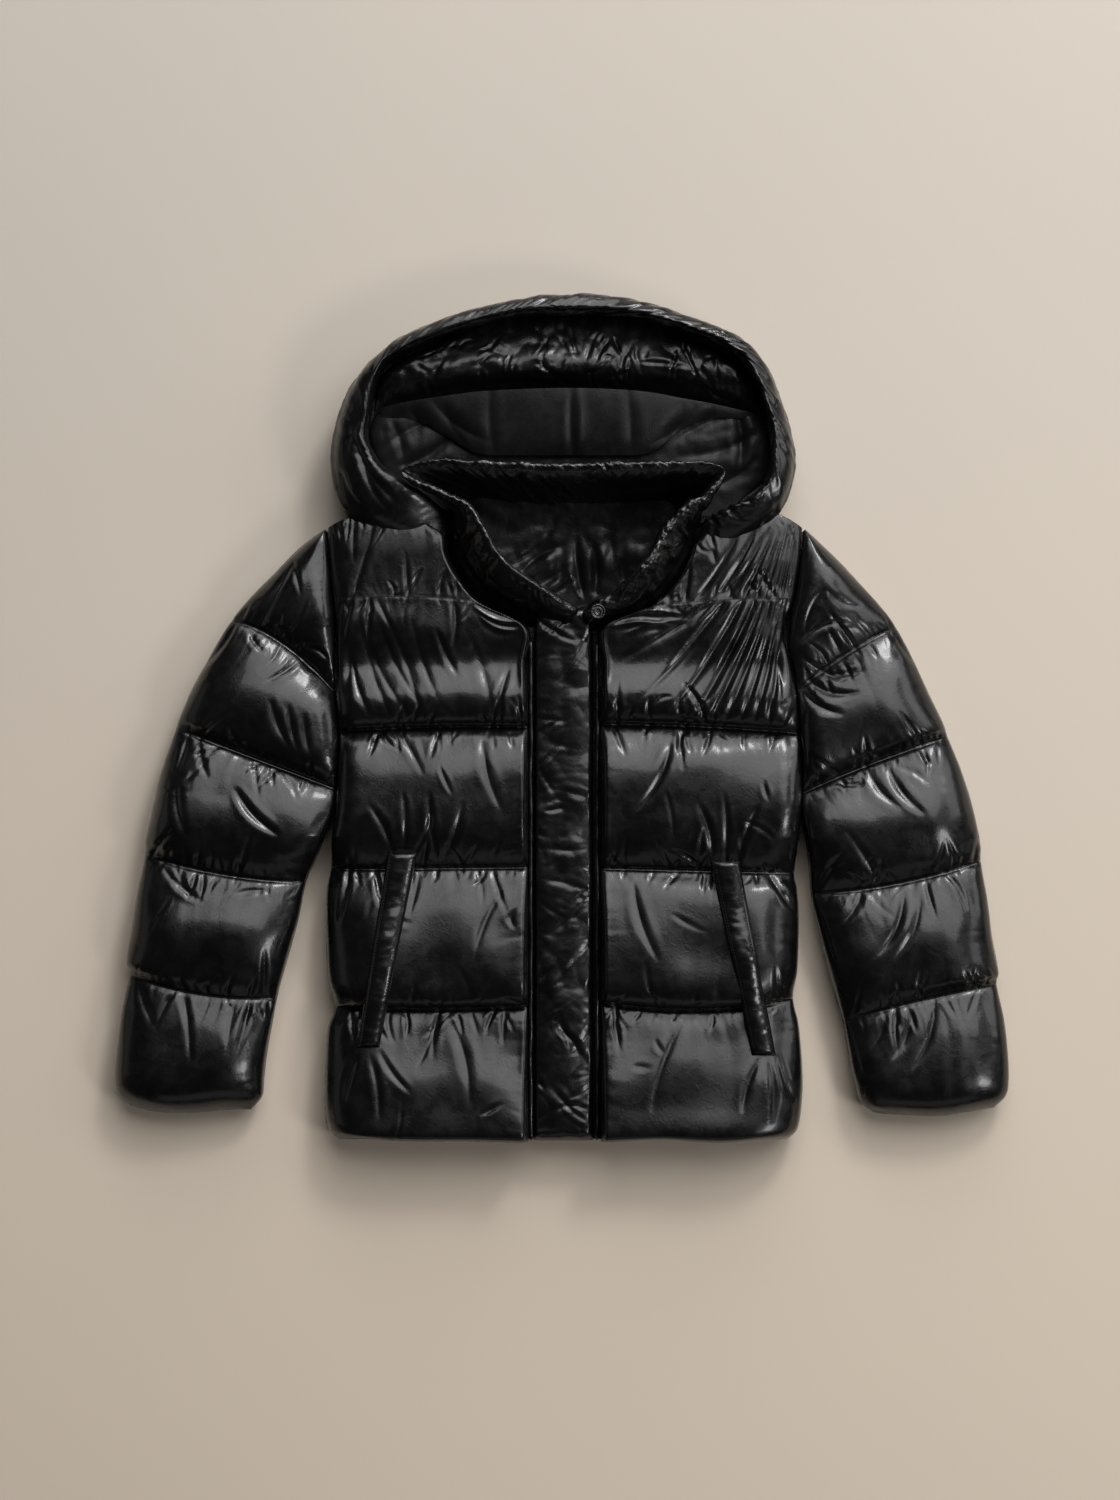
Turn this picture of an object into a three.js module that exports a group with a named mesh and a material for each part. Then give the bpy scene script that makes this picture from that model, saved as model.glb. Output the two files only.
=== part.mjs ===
// A cropped, hooded down jacket of glossy black nylon, laid out flat on its back.
// Millimetres. +Z up from the surface it lies on, +Y towards the hood, +X towards the
// wearer's left sleeve. The origin is on the surface, under the middle of the whole jacket.

import * as THREE from "three";

// Driving dimensions

// Gap between two sewn pieces.
const SEAM_GAP = 0.3;
// The back layer of the jacket, squashed by the weight of the front, is this thick.
const BACK_LAYER = 24;
// The plain inside of every front piece.
const INSIDE_Z = BACK_LAYER + SEAM_GAP;
// A wall that ends in a free seam at the side, the hem or the cuff is this thick there.
const FREE_EDGE = 3;
// A wall that is sewn to a standing neighbour, such as along the armhole, is this thick there.
const SEWN_EDGE = 12;
// How far in from a free edge the filling reaches its full height, and from a sewn one.
const FREE_ROUNDING = 52;
const SEWN_ROUNDING = 24;
// Thickness of the wall at a quilting seam.
const QUILT_SEAM = 9;
const HEM_Y = -422;
const HOOD_SEAM_Y = 205.5;
const HOOD_EDGE_Z = 80;

const SHELL_COLOUR = 0x0b0b0d;
const LINING_COLOUR = 0x141416;
const SNAP_COLOUR = 0x4a4a4e;
const shellNylon = () =>
  new THREE.MeshStandardMaterial({ color: SHELL_COLOUR, roughness: 0.25, metalness: 0 });
const liningNylon = () =>
  new THREE.MeshStandardMaterial({ color: LINING_COLOUR, roughness: 0.6, metalness: 0 });
const snapMetal = () =>
  new THREE.MeshStandardMaterial({ color: SNAP_COLOUR, roughness: 0.35, metalness: 0.9 });

// Tables

// Each front, from the hem up. outX, outY: the side and armhole edge. inX, inY: the edge at the
// placket and then at the collar. bow: how far the middle of the row lies above its straight
// line. seam: the wall's thickness where a seam crosses. loft: the filling's height above that
// seam's row. sewn: 1 where the outer edge is sewn to the sleeve.
const RIGHT_FRONT = [
  { outX: -226, outY: -421, inX: -34, inY: -422, bow: 0, seam: FREE_EDGE, loft: 38, sewn: 0 },
  { outX: -237, outY: -390, inX: -34, inY: -390, bow: 0, sewn: 0 },
  { outX: -238, outY: -350, inX: -34, inY: -352, bow: 0, sewn: 0 },
  { outX: -235, outY: -310, inX: -34, inY: -312, bow: 0, sewn: 0 },
  { outX: -228, outY: -288, inX: -34, inY: -287, bow: -2, seam: QUILT_SEAM, loft: 42, sewn: 0 },
  { outX: -235, outY: -260, inX: -34, inY: -260, bow: 0, sewn: 0 },
  { outX: -237, outY: -216, inX: -34, inY: -218, bow: 0, sewn: 0 },
  { outX: -236, outY: -172, inX: -34, inY: -174, bow: 0, sewn: 0 },
  { outX: -232, outY: -150, inX: -34, inY: -148, bow: 0, seam: QUILT_SEAM, loft: 42, sewn: 0 },
  { outX: -230, outY: -118, inX: -34, inY: -118, bow: 0, sewn: 1 },
  { outX: -226, outY: -80, inX: -34, inY: -80, bow: 0, sewn: 1 },
  { outX: -223, outY: -35, inX: -34, inY: -35, bow: 0, sewn: 1 },
  { outX: -223, outY: -12, inX: -34, inY: -8, bow: 2, seam: QUILT_SEAM, loft: 40, sewn: 1 },
  { outX: -226, outY: 20, inX: -34, inY: 20, bow: 0, sewn: 1 },
  { outX: -227, outY: 55, inX: -34, inY: 55, bow: 0, sewn: 1 },
  { outX: -226, outY: 90, inX: -42, inY: 84, bow: 0, sewn: 1 },
  { outX: -227, outY: 119, inX: -98, inY: 108, bow: 4, seam: QUILT_SEAM, loft: 30, sewn: 1 },
  { outX: -226, outY: 146, inX: -118, inY: 138, bow: 0, sewn: 1 },
  { outX: -224, outY: 174, inX: -126, inY: 159, bow: -3, sewn: 1 },
  { outX: -219, outY: 202, inX: -128, inY: 176, bow: -8, seam: SEWN_EDGE, sewn: 1 },
];
const LEFT_FRONT = [
  { outX: 226, outY: -421, inX: 38, inY: -422, bow: 0, seam: FREE_EDGE, loft: 38, sewn: 0 },
  { outX: 238, outY: -390, inX: 38, inY: -388, bow: 0, sewn: 0 },
  { outX: 240, outY: -350, inX: 38, inY: -350, bow: 0, sewn: 0 },
  { outX: 237, outY: -308, inX: 38, inY: -308, bow: -4, sewn: 0 },
  { outX: 231, outY: -280, inX: 38, inY: -283, bow: -9, seam: QUILT_SEAM, loft: 42, sewn: 0 },
  { outX: 235, outY: -252, inX: 38, inY: -255, bow: -4, sewn: 0 },
  { outX: 237, outY: -206, inX: 38, inY: -214, bow: 0, sewn: 0 },
  { outX: 235, outY: -172, inX: 38, inY: -174, bow: 0, sewn: 0 },
  { outX: 232, outY: -154, inX: 38, inY: -149, bow: 0, seam: QUILT_SEAM, loft: 42, sewn: 0 },
  { outX: 236, outY: -118, inX: 38, inY: -118, bow: 0, sewn: 1 },
  { outX: 238, outY: -80, inX: 38, inY: -80, bow: 0, sewn: 1 },
  { outX: 238, outY: -40, inX: 38, inY: -35, bow: 0, sewn: 1 },
  { outX: 236, outY: -14, inX: 38, inY: -5, bow: 2, seam: QUILT_SEAM, loft: 40, sewn: 1 },
  { outX: 234, outY: 20, inX: 38, inY: 22, bow: 0, sewn: 1 },
  { outX: 230, outY: 50, inX: 38, inY: 55, bow: 0, sewn: 1 },
  { outX: 222, outY: 86, inX: 47, inY: 84, bow: 0, sewn: 1 },
  { outX: 230, outY: 119, inX: 99, inY: 103, bow: 3, seam: QUILT_SEAM + 8, loft: 30, sewn: 1 },
  { outX: 236, outY: 146, inX: 122, inY: 125, bow: 0, sewn: 1 },
  { outX: 239, outY: 176, inX: 135, inY: 146, bow: -3, sewn: 1 },
  { outX: 226, outY: 200, inX: 142, inY: 162, bow: -5, seam: SEWN_EDGE, sewn: 1 },
];

// Each sleeve, from the shoulder down. outX, outY: the long outer edge. inX, inY: the free inner
// edge, or atY alone where the inner edge is the armhole at that height. The other columns as
// for the fronts, with sewn on the inner edge.
const RIGHT_SLEEVE = [
  { outX: -223, outY: 203, atY: 189, bow: 0, seam: SEWN_EDGE, loft: 36, sewn: 1 },
  { outX: -262, outY: 173, atY: 150, bow: 0, sewn: 1 },
  { outX: -291, outY: 144, atY: 108, bow: 3, sewn: 1 },
  { outX: -314, outY: 120, atY: 66, bow: 8, sewn: 1 },
  { outX: -331, outY: 99, atY: 27, bow: 12, seam: QUILT_SEAM, loft: 38, sewn: 1 },
  { outX: -350, outY: 69, atY: 2, bow: 6, sewn: 1 },
  { outX: -369, outY: 33, atY: -28, bow: 2, sewn: 1 },
  { outX: -382, outY: 5, atY: -52, bow: 0, sewn: 1 },
  { outX: -387, outY: -9, atY: -70, bow: 0, seam: QUILT_SEAM, loft: 38, sewn: 1 },
  { outX: -401, outY: -50, atY: -94, bow: 0, sewn: 1 },
  { outX: -410, outY: -88, inX: -238, inY: -118, bow: 0, sewn: 1 },
  { outX: -417, outY: -118, inX: -249, inY: -145, bow: -3, sewn: 0 },
  { outX: -418, outY: -136, inX: -257, inY: -163, bow: -6, seam: QUILT_SEAM, loft: 36, sewn: 0 },
  { outX: -426, outY: -176, inX: -264, inY: -198, bow: -4, sewn: 0 },
  { outX: -432, outY: -212, inX: -272, inY: -228, bow: -4, sewn: 0 },
  { outX: -437, outY: -242, inX: -280, inY: -256, bow: -6, sewn: 0 },
  { outX: -434, outY: -256, inX: -286, inY: -279, bow: -8, seam: QUILT_SEAM, loft: 32, sewn: 0 },
  { outX: -442, outY: -296, inX: -291, inY: -306, bow: -4, sewn: 0 },
  { outX: -446, outY: -332, inX: -296, inY: -334, bow: -4, sewn: 0 },
  { outX: -447, outY: -362, inX: -300, inY: -362, bow: -6, sewn: 0 },
  { outX: -438, outY: -385, inX: -303, inY: -384, bow: -9, seam: FREE_EDGE, sewn: 0 },
];
const LEFT_SLEEVE = [
  { outX: 243, outY: 192, atY: 180, bow: 0, seam: SEWN_EDGE, loft: 36, sewn: 1 },
  { outX: 264, outY: 169, atY: 148, bow: 0, sewn: 1 },
  { outX: 292, outY: 142, atY: 110, bow: 1, sewn: 1 },
  { outX: 318, outY: 114, atY: 70, bow: 3, sewn: 1 },
  { outX: 334, outY: 92, atY: 28, bow: 5, seam: QUILT_SEAM, loft: 38, sewn: 1 },
  { outX: 352, outY: 58, atY: 2, bow: 3, sewn: 1 },
  { outX: 369, outY: 22, atY: -28, bow: 3, sewn: 1 },
  { outX: 382, outY: -6, atY: -54, bow: 3, sewn: 1 },
  { outX: 386, outY: -18, atY: -74, bow: 3, seam: QUILT_SEAM, loft: 38, sewn: 1 },
  { outX: 401, outY: -56, atY: -96, bow: 2, sewn: 1 },
  { outX: 413, outY: -96, inX: 243, inY: -120, bow: 0, sewn: 1 },
  { outX: 419, outY: -126, inX: 247, inY: -150, bow: -3, sewn: 0 },
  { outX: 419, outY: -142, inX: 249, inY: -175, bow: -6, seam: QUILT_SEAM, loft: 36, sewn: 0 },
  { outX: 426, outY: -184, inX: 257, inY: -212, bow: -3, sewn: 0 },
  { outX: 431, outY: -220, inX: 265, inY: -245, bow: 0, sewn: 0 },
  { outX: 437, outY: -252, inX: 274, inY: -278, bow: 2, sewn: 0 },
  { outX: 435, outY: -266, inX: 281, inY: -302, bow: 3, seam: QUILT_SEAM, loft: 32, sewn: 0 },
  { outX: 442, outY: -300, inX: 285, inY: -325, bow: 0, sewn: 0 },
  { outX: 446, outY: -334, inX: 289, inY: -350, bow: -3, sewn: 0 },
  { outX: 447, outY: -364, inX: 295, inY: -371, bow: -5, sewn: 0 },
  { outX: 436, outY: -386, inX: 303, inY: -388, bow: -8, seam: FREE_EDGE, sewn: 0 },
];

// The largest folds of the fronts and sleeves, as troughs in the filling: from, to, how deep
// and how wide each is.
const RIGHT_FRONT_FOLDS = [
  { fromX: -205, fromY: 96, toX: -168, toY: 6, depth: 4, width: 9 },
  { fromX: -168, fromY: 100, toX: -136, toY: 10, depth: 4, width: 8 },
  { fromX: -132, fromY: -136, toX: -126, toY: -98, depth: 5, width: 7 },
  { fromX: -150, fromY: -136, toX: -172, toY: -100, depth: 4, width: 7 },
];
const LEFT_FRONT_FOLDS = [
  { fromX: 212, fromY: 110, toX: 142, toY: 2, depth: 6, width: 9 },
  { fromX: 216, fromY: 116, toX: 108, toY: 40, depth: 5, width: 9 },
  { fromX: 214, fromY: 84, toX: 186, toY: -2, depth: 5, width: 8 },
  { fromX: 100, fromY: -22, toX: 78, toY: -92, depth: 5, width: 8 },
  { fromX: 152, fromY: -136, toX: 138, toY: -108, depth: 4, width: 7 },
];
const RIGHT_SLEEVE_FOLDS = [
  { fromX: -252, fromY: 64, toX: -292, toY: 8, depth: 4, width: 8 },
  { fromX: -236, fromY: -40, toX: -330, toY: -20, depth: 4, width: 8 },
  { fromX: -388, fromY: -40, toX: -352, toY: -118, depth: 3, width: 8 },
];
const LEFT_SLEEVE_FOLDS = [
  { fromX: 250, fromY: 30, toX: 318, toY: 52, depth: 5, width: 8 },
  { fromX: 252, fromY: 6, toX: 330, toY: 12, depth: 4, width: 8 },
  { fromX: 258, fromY: -190, toX: 330, toY: -205, depth: 4, width: 8 },
];

// The padded edge of the hood, from its lower right end over the top to its lower left one.
// outX, outY: its outer foot. inX, inY: its inner one. top: its height above the surface.
const HOOD_EDGE = [
  { outX: -129, outY: 187, inX: -130, inY: 207, top: 58 },
  { outX: -163, outY: 183, inX: -155, inY: 226, top: 70 },
  { outX: -194, outY: 191, inX: -169, inY: 239, top: 76 },
  { outX: -217, outY: 209, inX: -179, inY: 250, top: HOOD_EDGE_Z },
  { outX: -229, outY: 240, inX: -187, inY: 265, top: HOOD_EDGE_Z },
  { outX: -230, outY: 269, inX: -193, inY: 282, top: HOOD_EDGE_Z },
  { outX: -224, outY: 299, inX: -190, inY: 308, top: HOOD_EDGE_Z },
  { outX: -212, outY: 329, inX: -185, inY: 334, top: HOOD_EDGE_Z },
  { outX: -194, outY: 352, inX: -176, inY: 352, top: HOOD_EDGE_Z },
  { outX: -170, outY: 373, inX: -158, inY: 364, top: HOOD_EDGE_Z },
  { outX: -145, outY: 386, inX: -138, inY: 374, top: HOOD_EDGE_Z },
  { outX: -117, outY: 398, inX: -112, inY: 383, top: HOOD_EDGE_Z },
  { outX: -77, outY: 410, inX: -74, inY: 394, top: HOOD_EDGE_Z },
  { outX: -39, outY: 418, inX: -37, inY: 401, top: HOOD_EDGE_Z },
  { outX: 8, outY: 422, inX: 8, inY: 402, top: HOOD_EDGE_Z },
  { outX: 48, outY: 420, inX: 46, inY: 402, top: HOOD_EDGE_Z },
  { outX: 86, outY: 412, inX: 82, inY: 397, top: HOOD_EDGE_Z },
  { outX: 138, outY: 396, inX: 131, inY: 382, top: HOOD_EDGE_Z },
  { outX: 166, outY: 384, inX: 157, inY: 371, top: HOOD_EDGE_Z },
  { outX: 187, outY: 370, inX: 175, inY: 358, top: HOOD_EDGE_Z },
  { outX: 202, outY: 352, inX: 187, inY: 342, top: HOOD_EDGE_Z },
  { outX: 212, outY: 332, inX: 195, inY: 324, top: HOOD_EDGE_Z },
  { outX: 222, outY: 305, inX: 203, inY: 299, top: HOOD_EDGE_Z },
  { outX: 229, outY: 279, inX: 207, inY: 274, top: HOOD_EDGE_Z },
  { outX: 232, outY: 253, inX: 206, inY: 252, top: HOOD_EDGE_Z },
  { outX: 228, outY: 230, inX: 200, inY: 235, top: HOOD_EDGE_Z },
  { outX: 218, outY: 210, inX: 188, inY: 222, top: HOOD_EDGE_Z },
  { outX: 202, outY: 193, inX: 172, inY: 210, top: 76 },
  { outX: 177, outY: 179, inX: 158, inY: 199, top: 70 },
  { outX: 151, outY: 169, inX: 145, inY: 184, top: 58 },
];

// The stand collar, from its right front end round the back of the neck to its left front end.
// baseX, baseY: the middle of the wall where it is sewn to the neck. topX, topY, topZ: the
// middle of its upper edge. thick: the padded wall's thickness.
const COLLAR = [
  { baseX: -10, baseY: 100, topX: 7, topY: 109, topZ: 74, thick: 16 },
  { baseX: -34, baseY: 101, topX: -10, topY: 121, topZ: 82, thick: 17 },
  { baseX: -62, baseY: 107, topX: -33, topY: 136, topZ: 88, thick: 18 },
  { baseX: -87, baseY: 122, topX: -52, topY: 149, topZ: 91, thick: 18 },
  { baseX: -105, baseY: 146, topX: -67, topY: 166, topZ: 92, thick: 18 },
  { baseX: -113, baseY: 171, topX: -79, topY: 188, topZ: 92, thick: 18 },
  { baseX: -112, baseY: 193, topX: -94, topY: 210, topZ: 90, thick: 17 },
  { baseX: -102, baseY: 208, topX: -124, topY: 224, topZ: 88, thick: 14 },
  { baseX: -84, baseY: 214, topX: -160, topY: 243, topZ: 84, thick: 12 },
  { baseX: -62, baseY: 214, topX: -126, topY: 254, topZ: 88, thick: 14 },
  { baseX: -32, baseY: 214, topX: -78, topY: 251, topZ: 91, thick: 18 },
  { baseX: 10, baseY: 214, topX: -2, topY: 248, topZ: 92, thick: 18 },
  { baseX: 50, baseY: 214, topX: 62, topY: 250, topZ: 92, thick: 18 },
  { baseX: 86, baseY: 214, topX: 108, topY: 251, topZ: 90, thick: 16 },
  { baseX: 106, baseY: 213, topX: 138, topY: 252, topZ: 87, thick: 14 },
  { baseX: 118, baseY: 208, topX: 160, topY: 244, topZ: 84, thick: 12 },
  { baseX: 126, baseY: 196, topX: 146, topY: 224, topZ: 87, thick: 14 },
  { baseX: 128, baseY: 178, topX: 118, topY: 205, topZ: 90, thick: 17 },
  { baseX: 123, baseY: 156, topX: 99, topY: 183, topZ: 92, thick: 18 },
  { baseX: 111, baseY: 134, topX: 88, topY: 160, topZ: 91, thick: 18 },
  { baseX: 90, baseY: 115, topX: 72, topY: 140, topZ: 88, thick: 18 },
  { baseX: 63, baseY: 104, topX: 52, topY: 122, topZ: 77, thick: 18 },
  { baseX: 36, baseY: 100, topX: 32, topY: 104, topZ: 72, thick: 18 },
];

// Rows of the pieces that line the hood and the back of the neck, from low to high y, with the
// two ends of each row, the wall's height there and how far its middle lies above its ends.
const HOOD_LINING_UPPER = [
  { y: 329.5, fromX: -180, toX: 190, height: 9, arch: 0 },
  { y: 340, fromX: -178, toX: 184, height: 16, arch: 2 },
  { y: 352, fromX: -170, toX: 176, height: 22, arch: 2 },
  { y: 363, fromX: -154, toX: 163, height: 24, arch: 2 },
  { y: 373, fromX: -134, toX: 146, height: 22, arch: 3 },
  { y: 382, fromX: -108, toX: 124, height: 15, arch: 4 },
  { y: 390, fromX: -80, toX: 98, height: 11, arch: 6 },
];
const HOOD_LINING_LOWER = [
  { y: 228, fromX: -146, toX: 176, height: 5, arch: 0 },
  { y: 242, fromX: -164, toX: 194, height: 6, arch: 0 },
  { y: 256, fromX: -176, toX: 202, height: 8, arch: 0 },
  { y: 272, fromX: -184, toX: 203, height: 9, arch: 0 },
  { y: 290, fromX: -188, toX: 202, height: 10, arch: 0 },
  { y: 308, fromX: -186, toX: 198, height: 11, arch: 0 },
  { y: 328.8, fromX: -182, toX: 190, height: 12, arch: 0 },
];
const NECK_LINING = [
  { y: 117, fromX: -18, toX: 44, height: 6, arch: 0 },
  { y: 130, fromX: -50, toX: 74, height: 9, arch: 0 },
  { y: 146, fromX: -76, toX: 96, height: 11, arch: 0 },
  { y: 164, fromX: -92, toX: 108, height: 12, arch: 0 },
  { y: 182, fromX: -100, toX: 114, height: 10, arch: 0 },
  { y: 199, fromX: -94, toX: 108, height: 7, arch: 0 },
];
const NECK_LINING_FOLDS = [
  { fromX: 18, fromY: 180, toX: 24, toY: 122, depth: 4, width: 6 },
  { fromX: 34, fromY: 172, toX: 36, toY: 124, depth: 4, width: 5 },
  { fromX: -60, fromY: 150, toX: -10, toY: 186, depth: 3, width: 8 },
  { fromX: -44, fromY: 138, toX: 4, toY: 172, depth: 3, width: 7 },
];

// The slack band of lining that sags across the hood, from the wearer's right to the left: its
// upper and its lower edge, and how far it stands above the lining under it.
const HOOD_BAND = [
  { x: -176, highY: 312, lowY: 304, rise: 0 },
  { x: -150, highY: 316, lowY: 298, rise: 7 },
  { x: -118, highY: 320, lowY: 280, rise: 12 },
  { x: -84, highY: 323, lowY: 264, rise: 15 },
  { x: -40, highY: 325, lowY: 262, rise: 17 },
  { x: 4, highY: 326, lowY: 262, rise: 18 },
  { x: 50, highY: 325, lowY: 262, rise: 17 },
  { x: 88, highY: 322, lowY: 265, rise: 15 },
  { x: 118, highY: 318, lowY: 284, rise: 12 },
  { x: 150, highY: 313, lowY: 300, rise: 7 },
  { x: 182, highY: 308, lowY: 302, rise: 0 },
];
const BAND_THICK = 3;

// The slanted creases of the soft placket, as ridges: where each crosses the middle, how far it
// climbs from the right edge to the left one, and its height.
const PLACKET_FOLDS = [
  { y: 74, climb: -22, height: 5 },
  { y: 40, climb: 18, height: 4 },
  { y: 6, climb: -8, height: 6 },
  { y: -34, climb: 26, height: 4 },
  { y: -72, climb: -20, height: 5 },
  { y: -112, climb: 16, height: 4 },
  { y: -150, climb: 4, height: 6 },
  { y: -196, climb: -30, height: 5 },
  { y: -240, climb: 22, height: 4 },
  { y: -286, climb: -12, height: 6 },
  { y: -330, climb: 28, height: 4 },
  { y: -372, climb: -18, height: 5 },
];
const PLACKET = { fromX: -29.2, toX: 30.8, topY: 88, height: 20, crown: 4, rounding: 7 };

// The two pipings beside the placket: a bead on a flat stem that is sewn into the seam.
const PIPINGS = [
  { name: "placket_piping_right", x: -31.6, topY: 74 },
  { name: "placket_piping_left", x: 34.6, topY: 72 },
];
const PIPING = { stem: 0.8, bead: 1.9, height: 20, sides: 8 };

// Each pocket welt on its front: the ends of its middle line in plan, its widths and thickness.
const POCKETS = [
  {
    name: "pocket_welt_right",
    table: RIGHT_FRONT,
    folds: RIGHT_FRONT_FOLDS,
    topX: -159,
    topY: -133,
    lowX: -193,
    lowY: -322,
    topWide: 27,
    lowWide: 20,
  },
  {
    name: "pocket_welt_left",
    table: LEFT_FRONT,
    folds: LEFT_FRONT_FOLDS,
    topX: 161,
    topY: -143,
    lowX: 200,
    lowY: -332,
    topWide: 25,
    lowWide: 20,
  },
];
const WELT_THICK = 7;
// How much of the filling's height a welt keeps where it bridges a quilting seam.
const WELT_BRIDGE = 0.55;

// Steps of the meshes

// Shares of a baffle's length, closer together at its seams.
const BAFFLE_STEPS = [0, 0.06, 0.17, 0.33, 0.5, 0.67, 0.83, 0.94];
const WIDE_STEPS = [0, 0.015, 0.05, 0.1, 0.17, 0.27, 0.4, 0.53, 0.66, 0.78, 0.87, 0.94, 0.98, 1];
const NARROW_STEPS = [0, 0.02, 0.07, 0.16, 0.29, 0.43, 0.57, 0.71, 0.84, 0.93, 0.98, 1];

// Small maths

const mix = (a, b, t) => a + (b - a) * t;
const clamp = (value, low, high) => Math.min(high, Math.max(low, value));

// The value between rows i and i + 1 of a column, on a smooth curve through all of them.
function smoothBetween(values, place) {
  const i = clamp(Math.floor(place), 0, values.length - 2);
  const t = place - i;
  const before = values[Math.max(i - 1, 0)];
  const after = values[Math.min(i + 2, values.length - 1)];
  const [from, to] = [values[i], values[i + 1]];
  const startSlope = (to - before) / 2;
  const endSlope = (after - from) / 2;
  const [t2, t3] = [t * t, t * t * t];
  return (
    (2 * t3 - 3 * t2 + 1) * from +
    (t3 - 2 * t2 + t) * startSlope +
    (3 * t2 - 2 * t3) * to +
    (t3 - t2) * endSlope
  );
}
const column = (table, name, place) =>
  smoothBetween(
    table.map((row) => row[name]),
    place,
  );
const straightColumn = (table, name, place) => {
  const i = clamp(Math.floor(place), 0, table.length - 2);
  return mix(table[i][name], table[i + 1][name], place - i);
};

// A quarter round: 0 at the edge, 1 from `reach` inwards.
const rounded = (distance, reach) => Math.sqrt(1 - (1 - clamp(distance / reach, 0, 1)) ** 2);
// The outline of the filling between two seams: steep at the seams, round in the middle.
const PUFF_POWER = 0.6;
const puffed = (t) => Math.sin(Math.PI * clamp(t, 0, 1)) ** PUFF_POWER;

// How far a table of folds lowers the surface at x, y. Each fold fades at both ends to a share
// of its depth.
const FOLD_END = 0.4;
function foldDepth(folds, x, y) {
  let depth = 0;
  for (const fold of folds) {
    const [alongX, alongY] = [fold.toX - fold.fromX, fold.toY - fold.fromY];
    const long = Math.hypot(alongX, alongY);
    const along = ((x - fold.fromX) * alongX + (y - fold.fromY) * alongY) / long;
    const aside = ((x - fold.fromX) * alongY - (y - fold.fromY) * alongX) / long;
    const share = clamp(along / long, 0, 1);
    const beyond = Math.max(-along, along - long, 0);
    const spread = Math.exp(-((aside / fold.width) ** 2) - (beyond / fold.width) ** 2);
    depth += fold.depth * spread * mix(FOLD_END, 1, Math.sin(Math.PI * share));
  }
  return depth;
}

// Closed solids from points

function geometryOf(points, triangles) {
  const geometry = new THREE.BufferGeometry();
  geometry.setAttribute("position", new THREE.Float32BufferAttribute(points.flat(), 3));
  let volume = 0;
  for (const [a, b, c] of triangles) {
    const [p, q, r] = [points[a], points[b], points[c]];
    volume +=
      p[0] * (q[1] * r[2] - q[2] * r[1]) -
      p[1] * (q[0] * r[2] - q[2] * r[0]) +
      p[2] * (q[0] * r[1] - q[1] * r[0]);
  }
  const outward = volume < 0 ? triangles.map(([a, b, c]) => [a, c, b]) : triangles;
  geometry.setIndex(outward.flat());
  geometry.computeVertexNormals();
  return geometry;
}

function planArea(points, loop) {
  let area = 0;
  loop.forEach((index, i) => {
    const next = loop[(i + 1) % loop.length];
    area += points[index][0] * points[next][1] - points[next][0] * points[index][1];
  });
  return area / 2;
}

// The rim of a grid of points, as indices, once round.
function rimOf(rows, columns) {
  const rim = [];
  for (let j = 0; j < columns; j++) rim.push(j);
  for (let i = 1; i < rows; i++) rim.push(i * columns + columns - 1);
  for (let j = columns - 2; j >= 0; j--) rim.push((rows - 1) * columns + j);
  for (let i = rows - 2; i > 0; i--) rim.push(i * columns);
  return rim;
}

// The faces of a grid, each square split along its shorter diagonal.
function gridFaces(points, rows, columns) {
  const faces = [];
  const apart = (a, b) =>
    Math.hypot(...points[a].map((value, axis) => value - points[b][axis]));
  for (let i = 0; i + 1 < rows; i++) {
    for (let j = 0; j + 1 < columns; j++) {
      const a = i * columns + j;
      const [b, c, d] = [a + 1, a + columns + 1, a + columns];
      if (apart(a, c) < apart(b, d)) faces.push([a, b, c], [a, c, d]);
      else faces.push([a, b, d], [b, c, d]);
    }
  }
  return faces;
}

// The plain inside of a wall, in rungs from one side of the grid to the other, and fans at its
// two ends. at(i, j) is the index of the inner point under row i, column j of the rim.
function insideFaces(rows, columns, at) {
  const [last, right] = [rows - 1, columns - 1];
  const faces = [];
  for (let j = 0; j < right; j++) {
    faces.push([at(0, j + 1), at(0, j), at(1, 0)]);
    faces.push([at(last, j), at(last, j + 1), at(last - 1, right)]);
  }
  faces.push([at(1, right), at(0, right), at(1, 0)]);
  faces.push([at(last - 1, 0), at(last, 0), at(last - 1, right)]);
  for (let i = 1; i + 1 < last; i++) {
    faces.push([at(i, right), at(i, 0), at(i + 1, 0)]);
    faces.push([at(i + 1, right), at(i, right), at(i + 1, 0)]);
  }
  return faces;
}

// A wall with the grid of points as its outer side and a plain inside at one height.
function wallOnPlane(grid, planeZ) {
  const [rows, columns] = [grid.length, grid[0].length];
  const outer = grid.flat();
  const rim = rimOf(rows, columns);
  const inner = rim.map((index) => [outer[index][0], outer[index][1], planeZ]);
  const first = outer.length;
  const under = new Map(rim.map((index, i) => [index, first + i]));
  const faces = gridFaces(outer, rows, columns);
  rim.forEach((index, i) => {
    const next = (i + 1) % rim.length;
    faces.push([rim[next], index, first + i], [rim[next], first + i, first + next]);
  });
  faces.push(...insideFaces(rows, columns, (i, j) => under.get(i * columns + j)));
  return geometryOf([...outer, ...inner], faces);
}

// A wall between two grids of points of one size.
function wallBetween(outerGrid, innerGrid) {
  const [rows, columns] = [outerGrid.length, outerGrid[0].length];
  const outer = outerGrid.flat();
  const faces = gridFaces(outer, rows, columns);
  const behind = faces.map(([a, b, c]) => [a, c, b].map((index) => index + outer.length));
  const rim = rimOf(rows, columns);
  const edge = rim.flatMap((index, i) => {
    const next = rim[(i + 1) % rim.length];
    return [
      [next, index, index + outer.length],
      [next, index + outer.length, next + outer.length],
    ];
  });
  return geometryOf([...outer, ...innerGrid.flat()], [...faces, ...behind, ...edge]);
}

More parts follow.
